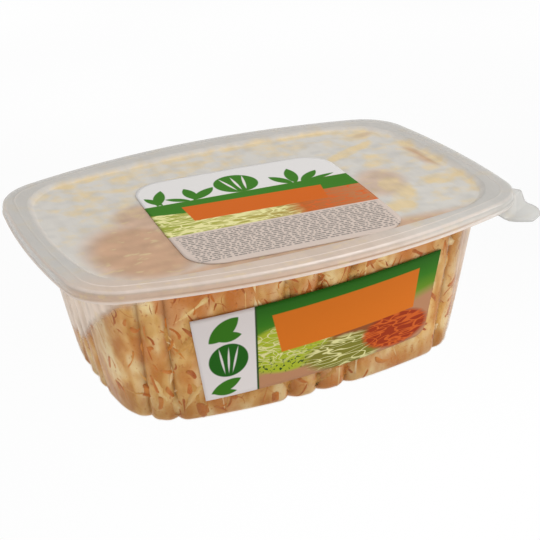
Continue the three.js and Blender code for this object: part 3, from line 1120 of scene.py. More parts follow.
@dataclass(frozen=True)
class Spot:
    """A soft-edged ellipse on the lid's panel."""

    x: float
    y: float
    along: float  # radius along its own axis
    across: float
    share: float
    turn: float = 0.0  # of its axis from x, in degrees

    def at(self, x: np.ndarray, y: np.ndarray) -> np.ndarray:
        """How strong the spot is.

        Args:
            x: Places of the points, in millimetres.
            y: The same.

        Returns:
            Its share at each point.
        """
        cos, sin = math.cos(math.radians(self.turn)), math.sin(math.radians(self.turn))
        along = (cos * (x - self.x) + sin * (y - self.y)) / self.along
        across = (cos * (y - self.y) - sin * (x - self.x)) / self.across
        return self.share * (1 - smoothstep(np.hypot(along, across), 0.6, 1.15))


@dataclass
class Lid(Piece):
    """The milky lid: sunken panel, raised rim, skirt with a bead, and the corner pull tab."""

    mouth: Outline
    outline: Outline = field(default_factory=lambda: Outline(82.0, 63.3, 217.0, 328.0, 19.5))
    height: float = 57.9
    sheet: float = 0.5
    drop: float = 1.5
    spread: float = 0.5
    skirt: float = 4.0
    flare: float = 0.35
    flange_run: float = 2.7
    ease: float = 0.32  # reach of the rounding at the profile's corners
    bead_in: float = -4.2  # a fine bead pressed round the rim's flat top
    bead_half: float = 0.5
    bead_rise: float = 0.18
    step_rise: float = 2.1  # height of a faint step in the skirt over its lower edge
    step_out: float = 0.14
    place_steps: tuple[int, ...] = (26, 24, 56)  # stations on short side, corner, long side
    wave: Pair = (38.0, 0.03)  # length and height of the panel's waves
    wave_reach: Pair = (73.0, 52.0)  # half the size of the ellipse that they fade at
    tab_foot: Pair = (76.0, -43.8)
    tab_heading: float = -58.0
    tab_length: float = 10.2
    tab_half: float = 8.4
    tab_sheet: float = 0.8
    tab_root: float = 5.0
    tab_sweep: float = 6.0  # how much further the tab's root runs along the front rim
    tab_profile: tuple[Pair, ...] = (  # how far down the tab lies, by how far out
        (-5.0, 0.0),
        (0.0, 0.0),
        (0.9, 0.2),
        (2.3, 3.8),
        (3.3, 4.3),
        (8.16, 4.58),
        (9.486, 4.9),
        (10.2, 5.1),
    )
    front_near: Pair = (25.0, 50.0)  # -y over which salad comes to lie behind the rim
    front_end: Pair = (30.0, 75.0)  # x over which it leaves the rim again
    rosy_end: Pair = (5.0, 50.0)  # x over which it stops showing through
    gap_start: Pair = (-72.0, -40.0)  # x over which a clear line in the skirt opens
    gap_line: Pair = (1.25, 0.3)  # its height over the skirt's lower edge, and half its width
    step_highlight_start: Pair = (-20.0, 25.0)  # x over which a painted highlight on the skirt's step sets in
    skirt_highlight_start: Pair = (-45.0, 20.0)  # x over which a fainter painted highlight over the whole skirt sets in
    highlight_end: Pair = (48.0, 74.0)  # x over which the painted highlights on bead, bend, step and skirt mostly fade
    close_spots: tuple[Spot, ...] = (
        Spot(-50, -24, 20, 27, 1.0),
        Spot(-61, -30, 8, 14, 0.7, 8),
        Spot(-40, 2, 12, 14, 0.8),
        Spot(0, -50, 66, 9, 0.9),
        Spot(44, -11, 15, 10, 0.6, 70),
        Spot(70, 5, 14, 2.0, 1.0, 88),
        Spot(63, 37, 5, 2.6, 0.6, 15),
    )
    dab_spots: tuple[Spot, ...] = (
        Spot(46, -20, 14, 6, 1.0, 82),
        Spot(39, -34, 8, 6, 1.1, 75),
        Spot(64, -19, 7, 6, 1.0),
        Spot(50, 23, 15, 3.6, 1.0, 25),
        Spot(52, 9, 8, 4, 0.7, 60),
        Spot(62, 37, 9, 5, 1.0, 15),
        Spot(30, 42, 60, 12, 0.34),
        Spot(-30, 40, 45, 14, 0.45),
        Spot(-52, 20, 14, 20, 0.3),
        Spot(60, 0, 15, 45, 0.2),
    )
    finish: PolypropyleneSheet = PolypropyleneSheet(
        name="milky_thermoformed_polypropylene",
        body="#e3e3e1",
        tint="#e9e9e7",
        haze=0.42,
        film=0.86,
        fog="#e7e3db",
        roughness=0.16,
        ripple=0.12,
        shine=0.5,
        streaks=(1, 3, 1),
        painted_highlight_colour="#fff1e6",
    )

    def body(self) -> Shape:
        """The lid without its tab.

        Returns:
            A closed body.
        """
        rim, bottom, panel = self.height, self.height - self.skirt, self.height - self.drop
        places = [k + np.linspace(0, 1, count + 1) for k, count in enumerate(self.place_steps)]
        places = np.unique(np.concatenate(places))
        profile = [
            (self.mouth, self.spread - 1.5, panel - self.sheet),
            (self.mouth, self.spread, panel - self.sheet),
            (self.mouth, self.flange_run + 0.2, rim - self.sheet),
            (self.outline, -1.1, rim - self.sheet),
            (self.outline, -0.6, rim - 1.0),
            (self.outline, -self.sheet, bottom),
            (self.outline, self.flare, bottom),
            (self.outline, self.flare, bottom + 0.7),
            (self.outline, 0.0, bottom + 1.0),
            (self.outline, 0.0, bottom + 1.5),
            (self.outline, self.step_out, bottom + self.step_rise),
            (self.outline, -0.05, bottom + 2.7),
            (self.outline, -0.1, rim - 0.7),
            (self.outline, -0.8, rim),
            (self.outline, self.bead_in + self.bead_half, rim),
            (self.outline, self.bead_in, rim + self.bead_rise),
            (self.outline, self.bead_in - self.bead_half, rim),
            (self.mouth, self.flange_run, rim),
            (self.mouth, self.spread, panel),
            (self.mouth, self.spread - 1.5, panel),
        ]
        rings = rounded([plain_ring(*corner, places) for corner in profile], self.ease)
        shares = np.linspace(0.98, 0.04, 34)
        under = [rings[0] * (s, s, 1) for s in shares[::-1]]
        over = [rings[-1] * (s, s, 1) for s in shares]
        wave_length, wave_height = self.wave
        sway = Unevenness(seed=11, size=wave_length, dims=2)
        for ring in [*under, *over]:
            flat = ring[:, :2]
            free = np.clip(1.2 - np.hypot(*(flat / self.wave_reach).T), 0, 1)
            ring[:, 2] += wave_height * free * sway.at(*flat.T)
        return skinned([*under, *rings, *over])

    def tab(self) -> Shape:
        """The pull tab: a tongue that steps down and flares out from the front right corner.

        Returns:
            A closed body, whose root reaches back through the skirt.
        """
        heading = math.radians(self.tab_heading)
        outward = np.array([math.cos(heading), math.sin(heading), 0.0])
        across = np.array([-outward[1], outward[0], 0.0])
        foot = np.array([*self.tab_foot, self.height - self.skirt + self.tab_sheet / 2])
        out = np.array([-self.tab_root, *np.linspace(0, self.tab_length, 40)])
        drop = np.interp(out, *zip(*self.tab_profile))
        drop[2:-1] = (drop[1:-2] + 2 * drop[2:-1] + drop[3:]) / 4
        share = np.clip(out, 0, None) / (1.06 * self.tab_length)
        half = self.tab_half * np.sqrt(1 - share**2.4)
        side = np.linspace(-1, 1, 25)
        swept = self.tab_sweep * (1 - smoothstep(out, 0.2, 2.8)) * smoothstep(out, -3.0, 0.0)
        lift = np.array([0, 0, self.tab_sheet / 2])
        rings = []
        for o, d, h, more in zip(out, drop, half, swept):
            reach = h * side + more * np.minimum(0, side) ** 3
            row = foot + o * outward + reach[:, None] * across - np.array([0, 0, d])
            rings.append(np.concatenate([row - lift, (row + lift)[::-1]]))
        return skinned(rings)

    def cloud(self, piece: bpy.types.Object) -> None:
        """Mark where damp, salad close behind and dabs change the sheet, and where highlights are
        painted on it.

        Args:
            piece: The lid, whose points get the marks.
        """
        x, y, z = points_of(piece)
        from_top = z - self.height
        from_edge = from_top + self.skirt
        uneven = Unevenness(seed=21, size=9.0, dims=2).at(x, y)
        on_rim = self.mouth.outside(1.8, x, y)
        on_panel = 1 - self.mouth.outside(1.0, x, y)
        on_skirt = 1 - smoothstep(from_top, -1.6, -0.9)
        front = smoothstep(-y, *self.front_near) * (1 - smoothstep(x, *self.front_end))
        gap = front * smoothstep(x, *self.gap_start) * ridge(from_edge, *self.gap_line)

        touch, dab = (
            np.max([spot.at(x, y) for spot in spots], axis=0)
            for spots in (self.close_spots, self.dab_spots)
        )
        panel_damp = np.clip(1 - 0.45 * touch + 0.1 * uneven, 0, 1)
        # On the front skirt the damp is full: real milkiness, and partly a painted highlight.
        rim_damp = mixed(mixed(0.42, 0.9, front), 1.0, on_skirt * front)
        for clear in (self.outline.outside(0.6, x, y), gap):
            rim_damp = mixed(rim_damp, 0.25, clear)
        set_value(piece, "film", mixed(panel_damp, rim_damp, on_rim))

        rosy = front * (1 - smoothstep(x, *self.rosy_end))
        rim_touch = np.maximum(mixed(0.42, 0.65, on_skirt) * rosy, gap)
        set_value(piece, "touch", mixed(touch * on_panel, rim_touch, on_rim))

        along_front = self.mouth.between(-3.0, 0.6, x, y) * smoothstep(x + 1.6 * y, -20, 30)
        set_value(piece, "dab", np.maximum(dab, 0.75 * along_front) * on_panel)

        # Painted highlights, stored in the edge mark: bright lines at the skirt's bead, the rim's
        # outer bend and the skirt's step, a fainter one over the front skirt, a light band on the
        # rim's inner slope where its fold read dark, and lines on the bead atop the rim.
        bead = 1 - smoothstep(from_edge, 0.5, 1.1)
        bend = smoothstep(from_top, -1.0, -0.6) * (1 - smoothstep(from_top, -0.15, -0.01))
        step = front * smoothstep(x, *self.step_highlight_start) * ridge(from_edge, self.step_rise, 0.35)
        pale = front * smoothstep(x, *self.skirt_highlight_start) * on_skirt * (1 - gap)
        edges = np.max([0.9 * bead, 0.75 * bend, 0.8 * step, 0.3 * pale], axis=0)
        edges *= self.outline.between(-1.6, 0.5, x, y) * (from_edge > -0.1)
        edges *= 1 - 0.7 * smoothstep(x, *self.highlight_end)
        slope = self.mouth.between(0.4, 1.8, x, y)
        rib_highlight = smoothstep(from_top, 0.03, 0.12) * mixed(0.2, 0.8, front)
        set_value(piece, "edge", np.max([edges, 0.4 * slope, rib_highlight], axis=0))

    def build(self) -> None:
        """Make the lid, fuse the tab to it and mark where damp or dressing clouds it."""
        piece = self.body().to_object("lid_shell")
        tab = self.tab().to_object("lid_tab")
        join = piece.modifiers.new("tab", "BOOLEAN")
        join.operation, join.solver, join.object = "UNION", "EXACT", tab
        graph = bpy.context.evaluated_depsgraph_get()
        piece.data = bpy.data.meshes.new_from_object(piece.evaluated_get(graph))
        piece.modifiers.clear()
        bpy.data.objects.remove(tab)
        self.cloud(piece)
        self.settle(piece, self.finish.build(), "lid", "lid")


@dataclass(frozen=True)
class Strips:
    """One kind of strip. Pairs are the least and the most, in millimetres."""

    name: str
    seed: int
    count: int
    length: Pair
    width: Pair
    vegetable: CutVegetable


@dataclass(frozen=True)
class PressedStrips(Strips):
    """Strips that lie against the tub's wall."""

    thickness: float
    depth: Pair  # inside the wall's outer face
    lean: float  # spread of their heading from upright, in degrees
    high: float  # share that is kept to the upper part of the wall


@dataclass(frozen=True)
class LooseStrips(Strips):
    """Strips that lie loose over the salad's surface."""

    thickness: Pair
    lift: Pair  # of a strip's middle over the surface


@dataclass
class Salad(Piece):
    """Coleslaw: a dressed core, strips pressed to the wall and a loose heap under the lid."""

    wall: FlutedWall
    surface: SaladSurface
    bite: float = 0.35  # the core's usual depth inside the wall's outer face
    heel_heights: tuple[float, ...] = (0.35, 0.6, 1.0, 1.5, 2.1, 2.7)
    side_rings: int = 30
    top_rings: int = 44
    uneven: Pair = (0.1, 0.2)  # how far the core's side usually and at most strays
    lumps: Pair = (0.8, 0.3)  # heights of its top's coarse and fine lumps
    wall_heights: Pair = (0.5, 54.0)  # of the strips' middles at the wall
    high_heights: Pair = (34.0, 54.0)  # of those that are kept high
    strip_heights: Pair = (0.3, 54.5)  # of the strips' ends
    section: tuple[Pair, ...] = ((-1, 0.42), (0, 0), (1, 0.42), (1, 1), (-1, 1))  # across, deep
    sparse_end: Pair = (-60.0, -50.0)  # x over which strips at the wall become frequent
    sparse_start: Pair = (10.0, 40.0)  # x over which they become fewer again
    heap_reach: Pair = (70.0, 49.0)  # x and y up to which loose strips start
    heap_levels: Pair = (8.0, 50.0)  # heights at which the wall limits the heap's reach
    heap_gap: float = 1.6  # between the heap and the wall's outer face
    dab_reach: Pair = (68.0, 46.0)  # x and y up to which dabs lie
    dab_count: int = 260
    dab_sides: int = 22
    dab_top: float = 55.8
    dab_profile: tuple[Pair, ...] = (  # share of a dab's radius and of its thickness
        (0.02, 1.0),
        (0.35, 1.0),
        (0.75, 0.7),
        (1.0, 0.25),
        (0.8, 0.0),
        (0.02, 0.0),
    )
    cabbage: CutVegetable = CutVegetable(
        name="shredded_white_cabbage",
        shades=[(0.0, "#cc9242"), (0.3, "#e6b364"), (0.65, "#f5d694"), (1.0, "#fdebbe")],
        coat="#e6ae60",
        coat_share=0.5,
        bed="#d29446",
        bed_share=0.6,
    )
    carrot: CutVegetable = CutVegetable(
        name="grated_carrot",
        shades=[(0.0, "#a84a10"), (0.4, "#be5e14"), (0.75, "#d0741e"), (1.0, "#dc8c38")],
        coat="#e09a52",
        coat_share=0.5,
        bed="#d68a3e",
        bed_share=0.8,
    )
    coated_cabbage: CutVegetable = CutVegetable(
        name="cabbage_coated_with_dressing",
        shades=[(0.0, "#e6c990"), (0.35, "#efd8a8"), (0.7, "#f5e6c4"), (1.0, "#f8eed6")],
        coat="#f3e0b8",
        coat_share=0.7,
        bed="#f3e0b8",
    )
    coated_carrot: CutVegetable = CutVegetable(
        name="carrot_coated_with_dressing",
        shades=[(0.0, "#b65a26"), (0.4, "#cc7434"), (0.75, "#dd8f4a"), (1.0, "#e8ab6c")],
        coat="#f0cc98",
        coat_share=0.6,
        bed="#f0cc98",
    )
    thick_dressing: Dressing = Dressing(
        name="thick_mayonnaise_dressing",
        cream=("#ecd096", "#f4e0b0", "#faeecf"),
        stain_and_shade="#e2a566",
        stain_share=0.5,
    )
    dressing: Dressing = Dressing(
        name="mayonnaise_dressing",
        cream=("#c8883a", "#e6b66c", "#fbe2a8"),
        stain_and_shade="#d07427",
        stain_share=0.72,
    )
    at_wall: tuple[PressedStrips, ...] = (
        PressedStrips(
            name="cabbage_at_wall",
            seed=41,
            count=560,
            length=(9, 34),
            width=(1.8, 8.0),
            vegetable=cabbage,
            thickness=1.1,
            depth=(0.14, 0.5),
            lean=28,
            high=0.0,
        ),
        PressedStrips(
            name="carrot_at_wall",
            seed=42,
            count=1700,
            length=(3, 9),
            width=(1.3, 5.0),
            vegetable=carrot,
            thickness=0.9,
            depth=(0.1, 0.4),
            lean=38,
            high=0.3,
        ),
    )
    loose: tuple[LooseStrips, ...] = (
        LooseStrips(
            name="cabbage_heap",
            seed=43,
            count=620,
            length=(14, 42),
            width=(1.8, 4.2),
            vegetable=coated_cabbage,
            thickness=(0.8, 1.4),
            lift=(0.3, 2.6),
        ),
        LooseStrips(
            name="carrot_heap",
            seed=44,
            count=420,
            length=(9, 30),
            width=(1.0, 2.0),
            vegetable=coated_carrot,
            thickness=(0.8, 1.4),
            lift=(0.4, 2.6),
        ),
    )

    def stain_and_shade(self, points: np.ndarray) -> np.ndarray:
        """Where carrot juice stains the core, most high at the front, and where painted shade
        darkens it near the heel.

        Args:
            points: The points, one to a row.

        Returns:
            Its share at each.
        """
        x, _, z = points.T
        high = smoothstep(z, 8, 44)
        end = 1 - 0.75 * smoothstep(x, 30, 60)
        corner = 1 - 0.6 * ridge(x, -66, 7)
        # Painted shade: more of the stain colour towards the heel.
        heel = 0.5 * (1 - smoothstep(z, 3, 14))
        return np.clip((0.4 + 0.6 * high + heel) * end * corner, 0, 1)

    @staticmethod
    def low(points: np.ndarray) -> np.ndarray:
        """Painted shade: how much darker brown is laid at the bottom and at both ends.

        Args:
            points: The points, with a last axis of three.

        Returns:
            Its share at each.
        """
        x, z = points[..., 0], points[..., 2]
        ends = 0.35 * smoothstep(-x, 62, 68) + 0.15 * smoothstep(x, 40, 50)
        return np.maximum(0.5 * (1 - smoothstep(z, 1, 18)), ends)

    def core(self) -> bpy.types.Object:
        """The dressed core, which reaches just into the wall and follows the surface on top.

        Returns:
            The new object.
        """
        count = len(self.wall.ring(10.0, 0.0))
        level = np.ones(count)
        uneven = Unevenness(seed=31, size=8.0, dims=3)
        coarse = Unevenness(seed=32, size=6.5, dims=2)
        fine = Unevenness(seed=33, size=2.6, dims=2)
        crest = 40.0 * level  # a first guess, as the wall's place depends on the height
        for _ in range(2):
            edge = self.wall.draped_ring(crest, self.bite)
            crest = self.surface.height(edge[:, 0], edge[:, 1])
        rings = [self.wall.draped_ring(z * level, self.bite) for z in self.heel_heights]
        for share in np.linspace(0, 1, self.side_rings):
            z = mixed(self.wall.heel, crest, share)
            plain = self.wall.draped_ring(z, self.bite)
            usual, most = self.uneven
            stray = np.clip(usual * uneven.at(*plain.T), -most, most)
            rings.append(self.wall.draped_ring(z, self.bite + stray))
        rim = rings[-1]
        inward = [0.99, *np.linspace(0.975, 0.02, self.top_rings)]
        for share in inward:
            ring = rim * (share, share, 1)
            x, y = ring[:, 0], ring[:, 1]
            lump = self.lumps[0] * coarse.at(x, y) + self.lumps[1] * fine.at(x, y)
            rise = self.surface.height(x, y) + lump * smoothstep(1 - share, 0.0, 0.06)
            ring[:, 2] = np.minimum(rise, self.surface.ceiling)
            rings.append(ring)
        shape = skinned(rings)
        piece = shape.to_object("salad_core")
        # Painted shade: the grooves' bottoms are darkened through both marks below.
        lines = np.tile(self.wall.groove_share(), len(rings))
        on_top = np.repeat(np.arange(len(rings)) >= len(rings) - len(inward), count)
        lines = np.append(lines * ~on_top, [0, 0])
        on_top = np.append(on_top, [False, True])
        # Carrot-juice stain, with painted shade near the heel; less on top.
        juice = self.stain_and_shade(shape.points) * np.where(on_top, 0.4, 1)
        set_value(piece, "stain_and_shade", np.clip(juice + 0.5 * lines, 0, 1))
        set_value(piece, "low", np.maximum(self.low(shape.points), 0.7 * lines**2))
        return piece

    def pressed(self, strips: PressedStrips) -> bpy.types.Object:
        """Strips that lie against the wall and follow its flutes, where there is salad.

        Args:
            strips: Their kind. Those drawn above the surface are dropped.

        Returns:
            The new object.
        """
        draw, count = np.random.default_rng(strips.seed), strips.count
        drawn = [
            draw.uniform(0, 4, count),
            draw.uniform(0, 1, count),
            draw.uniform(*self.high_heights, count),
            draw.uniform(*self.wall_heights, count),
            draw.uniform(*strips.length, count) * draw.uniform(0.6, 1, count),
            mixed(*strips.width, draw.uniform(0, 1, count) ** 2),
            np.radians(draw.normal(0, strips.lean, count)),
            draw.normal(0, 0.1, count),
            draw.uniform(*strips.depth, count),
        ]
        turn, lot, high, anywhere, long, wide, heading, bow, depth = per_strip(drawn)
        shade = draw.uniform(0, 1, count)
        along, taper = tapered(stations=12, blunt=5)
        side, sunk = np.array(self.section).T
        middle = np.where(lot < strips.high, high, anywhere)
        path = long * along
        off = bow * long * (1 - 4 * along**2) + wide / 2 * taper * side
        run = np.sin(heading) * path + np.cos(heading) * off
        z = middle + np.cos(heading) * path - np.sin(heading) * off
        z = np.clip(z, *self.strip_heights)
        inset = depth + np.where(sunk < 1, sunk, strips.thickness)
        points = self.wall.at(turn + run / self.wall.outline(z).quarter_run, z, inset)
        under = self.surface.height(points[..., 0], points[..., 1]) + 0.6
        keep = ((points[..., 2] <= under) & (z > 0.9)).all(axis=(1, 2))
        x = points[:, 5, 1, 0]  # halfway along each strip
        frequent = smoothstep(x, *self.sparse_end) * (1 - 0.6 * smoothstep(x, *self.sparse_start))
        keep &= draw.uniform(0, 1, count) < mixed(0.3, 1.0, frequent)
        piece = tubes(points[keep]).to_object(strips.name)
        set_value(piece, "shade", np.repeat(shade[keep], points[0, ..., 0].size))
        rim = np.maximum(sunk > 0, np.abs(2 * along) ** 8)
        set_value(piece, "rim", np.tile(rim.ravel(), int(keep.sum())))
        # Painted shade: darker towards the bottom and at both ends.
        set_value(piece, "low", self.low(points[keep]))
        return piece

    def limit(self, x: np.ndarray, y: np.ndarray) -> np.ndarray:
        """How far out the wall lets the heap reach.

        Args:
            x: Places of the points, in millimetres.
            y: The same.

        Returns:
            The reach in the direction of each point.
        """
        low, high = self.heap_levels
        reaches = []
        for level in (low, high):
            rim = self.wall.ring(level, self.heap_gap)
            angles = np.arctan2(rim[:, 1], rim[:, 0])
            order = np.argsort(angles)
            reach = np.hypot(rim[:, 0], rim[:, 1])[order]
            reaches.append(np.interp(np.arctan2(y, x), angles[order], reach, period=2 * np.pi))
        height = self.surface.height(x * 0.96, y * 0.96)
        return mixed(*reaches, np.clip((height - low) / (high - low), 0, 1))

    def heap(self, strips: LooseStrips) -> bpy.types.Object:
        """Strips that lie loose over the salad's surface, bent and twisted.

        Args:
            strips: Their kind.

        Returns:
            The new object.
        """
        draw, count = np.random.default_rng(strips.seed), strips.count
        half_x, half_y = self.heap_reach
        drawn = [
            draw.uniform(-half_x, half_x, count),
            draw.uniform(-half_y, half_y, count),
            draw.uniform(*strips.length, count),
            draw.uniform(*strips.width, count),
            draw.uniform(*strips.thickness, count),
            draw.uniform(0, np.pi, count),
            draw.normal(0, 0.9, count),
            draw.normal(0, 0.5, count),
            draw.normal(0, 0.8, count),
            draw.uniform(*strips.lift, count),
        ]
        x, y, long, wide, thick, heading, bend, roll, twist, lift = per_strip(drawn)
        shade = draw.uniform(0, 1, count)
        along, taper = tapered(stations=13, blunt=4)
        turned = heading + bend * along
        step = long * along
        x, y = x + np.cos(turned) * step, y + np.sin(turned) * step
        shrink = np.minimum(1, (self.limit(x, y) - wide / 2) / np.maximum(np.hypot(x, y), 1e-6))
        x, y = x * shrink, y * shrink
        z = self.surface.height(x, y) + lift * (1 - 3.2 * along**2)
        corner = np.linspace(0, 2 * np.pi, 6, endpoint=False) + np.pi / 6
        spin = roll + twist * along
        flat = wide / 2 * taper * np.cos(corner)
        up = thick / 2 * taper * np.sin(corner)
        aside = flat * np.cos(spin) - up * np.sin(spin)
        above = flat * np.sin(spin) + up * np.cos(spin)
        z = np.minimum(z + above, self.surface.ceiling + 0.2 * np.tanh(above))
        points = np.stack([x - np.sin(turned) * aside, y + np.cos(turned) * aside, z], axis=-1)
        piece = tubes(points).to_object(strips.name)
        set_value(piece, "shade", np.repeat(shade, points[0, ..., 0].size))
        return piece

    def smears(self) -> bpy.types.Object:
        """Dabs of dressing that cling to the lid's underside.

        Returns:
            The new object.
        """
        draw, count = np.random.default_rng(51), self.dab_count
        x, y = (draw.uniform(-half, half, count) for half in self.dab_reach)
        near = smoothstep(self.surface.height(x, y), 44, 53)
        radius = mixed(draw.uniform(0.7, 2.6, count), draw.uniform(1.2, 6.5, count), near)
        angle = np.linspace(0, 2 * np.pi, self.dab_sides, endpoint=False)
        phases = draw.uniform(0, 2 * np.pi, (3, count, 1))
        waves = zip((0.3, 0.18, 0.1), (2, 3, 5), phases)
        ragged = 1 + sum(size * np.sin(k * angle + phase) for size, k, phase in waves)
        share_out, share_down = np.array(self.dab_profile).T[..., None]
        x, y, radius = per_strip([x, y, radius])
        out = radius * ragged[:, None, :] * share_out
        z = self.dab_top - np.minimum(0.28 * radius, 0.9) * share_down + 0 * out
        points = np.stack([x + out * np.cos(angle), y + out * np.sin(angle), z], axis=-1)
        piece = tubes(points).to_object("dressing_dabs")
        set_value(piece, "stain_and_shade", np.repeat(draw.uniform(0, 0.5, count), out[0].size))
        return piece

    def build(self) -> None:
        """Make and dress all of the salad."""
        self.settle(self.core(), self.dressing.build(), "coleslaw", "coleslaw")
        for strips in self.at_wall:
            self.settle(self.pressed(strips), strips.vegetable.build(), "coleslaw")
        for strips in self.loose:
            self.settle(self.heap(strips), strips.vegetable.build(), "coleslaw")
        self.settle(self.smears(), self.thick_dressing.build(), "coleslaw")


@dataclass
class FrontLabel(Piece):
    """Printed paper on the front wall, bridging the flutes from crest to crest."""

    wall: FlutedWall
    top: float = 91.6
    bottom: float = 82.6
    height: float = 31.4
    x: float = 1.0
    z: float = 25.6
    tilt: float = 2.3
    corner: float = 5.0
    sheet: float = 0.25
    gap: float = 0.2

    def shape(self) -> Shape:
        """The sheet, bent to the wall.

        Returns:
            A closed body of rings across the sheet, each round its thickness.
        """
        lean = math.tan(math.radians(self.tilt))
        edge = self.corner / self.bottom
        ends = 1 - edge + edge * np.sin(np.linspace(0, np.pi / 2, 12))
        shares = np.concatenate([np.linspace(0, 1 - edge, 80)[:-1], ends])
        rows = np.linspace(0, 1, 22)
        rings = []
        for share in shares:
            into = max(0.0, (share - 1 + edge) / edge)
            lift = self.corner * (1 - math.sqrt(max(0.0, 1 - into**2))) * 0.98
            x_top, x_low = (self.x + (share - 0.5) * w for w in (self.top, self.bottom))
            z_top = self.z + self.height / 2 + x_top * lean
            z_low = self.z - self.height / 2 + x_low * lean + lift
            x, z = mixed(x_low, x_top, rows), mixed(z_low, z_top, rows)
            near = -self.wall.outline(z).reach_at_x(x) - self.gap
            near, far = (np.column_stack([x, y, z]) for y in (near, near - self.sheet))
            rings.append(np.concatenate([near, far[::-1]]))
        return skinned(rings)

    def printed(self) -> bpy.types.Material:
        """Front print: a white field of leaves, then a green field with panel and shreds.

        Returns:
            The finished material.
        """
        art = Print("varnished_label_paper_front", Ink.WHITE)
        picture = art.patch([(-22.6, 0), (60, 0), (60, 60), (-23.6, 60)])
        shades = [(0.0, "#a3b038"), (0.3, "#74961f"), (0.62, "#377a14"), (1.0, "#1d5c0c")]
        green = art.finish.add("ValToRGB", {0: art.above(0.05, 20, 42)}, shades)[0]
        art.lay(green, picture)
        art.lay(Ink.WOOD, picture, art.above(0.22, 22, 18))
        bowl = [picture, art.disc((-12, 22.5), (16, 9.0), 1.2)]
        art.lay(Ink.YELLOW_GREEN, *bowl)
        specks = {"Vector": art.here, "Scale": 0.9, "Detail": 1.0}
        specks = art.finish.add("TexNoise", specks)["Fac"]
        art.lay(Ink.DARK, *bowl, art.past(specks, 0.57, 0.62), art.past(art.y, 23, 17))
        bowl.append(art.past(art.y, 16, 21))
        art.tangle(Ink.PALE, bowl, {1: 15, 2: -25, 3: 60}, (3.2, 9, 0.55))
        art.lay(Ink.BROWN, picture, art.disc((16, 21.5), (13, 4.0), 1.2))
        shreds = [picture, art.disc((9, 15.5), (15, 6.0), 1.8)]
        art.lay(Ink.OLIVE, *shreds)
        art.tangle(Ink.PALE, shreds, {4: 22, 5: -14, 6: 48}, (3.2, 18, 0.6))
        carrots = [picture, art.disc((29, 18.0), (13, 6.5), 1.2)]
        art.lay(Ink.CARROT, *carrots)
        art.tangle(Ink.GINGER, carrots, {9: 20, 10: -35, 11: 50}, (3.0, 12, 0.8))
        panel = [(-14.4, 21.4), (36.1, 24.2), (38.0, 38.7), (-17.6, 35.9)]
        art.lay(Ink.ORANGE, art.patch(panel))
        rule = [(-22.9, 0), (-22.2, 0), (-23.2, 60), (-23.9, 60)]
        art.lay(Ink.DARK, art.patch(rule))
        art.leaf(Ink.LEAF_GREEN, (-39, 30), (-29, 38), 6.0)
        art.leaf(Ink.LEAF_GREEN, (-37, 31), (-28, 31.5), 3.6)
        art.leaf(Ink.LEAF_GREEN, (-38.5, 10.6), (-28.5, 15.0), 4.0)
        art.leaf(Ink.LEAF_GREEN, (-37.5, 10.4), (-30, 10.4), 2.2)
        art.cabbage(Ink.DEEP_GREEN, (-32.5, 22.5), (6.6, 6.2), (4.7, 3.2, 0.7))
        return art.paper()

    def build(self) -> None:
        """Make and dress the label."""
        shape = self.shape()
        piece = shape.to_object("front_label_sheet")
        set_face_map(piece, shape.points[:, [0, 2]])
        self.settle(piece, self.printed(), "label_front", "label_front")


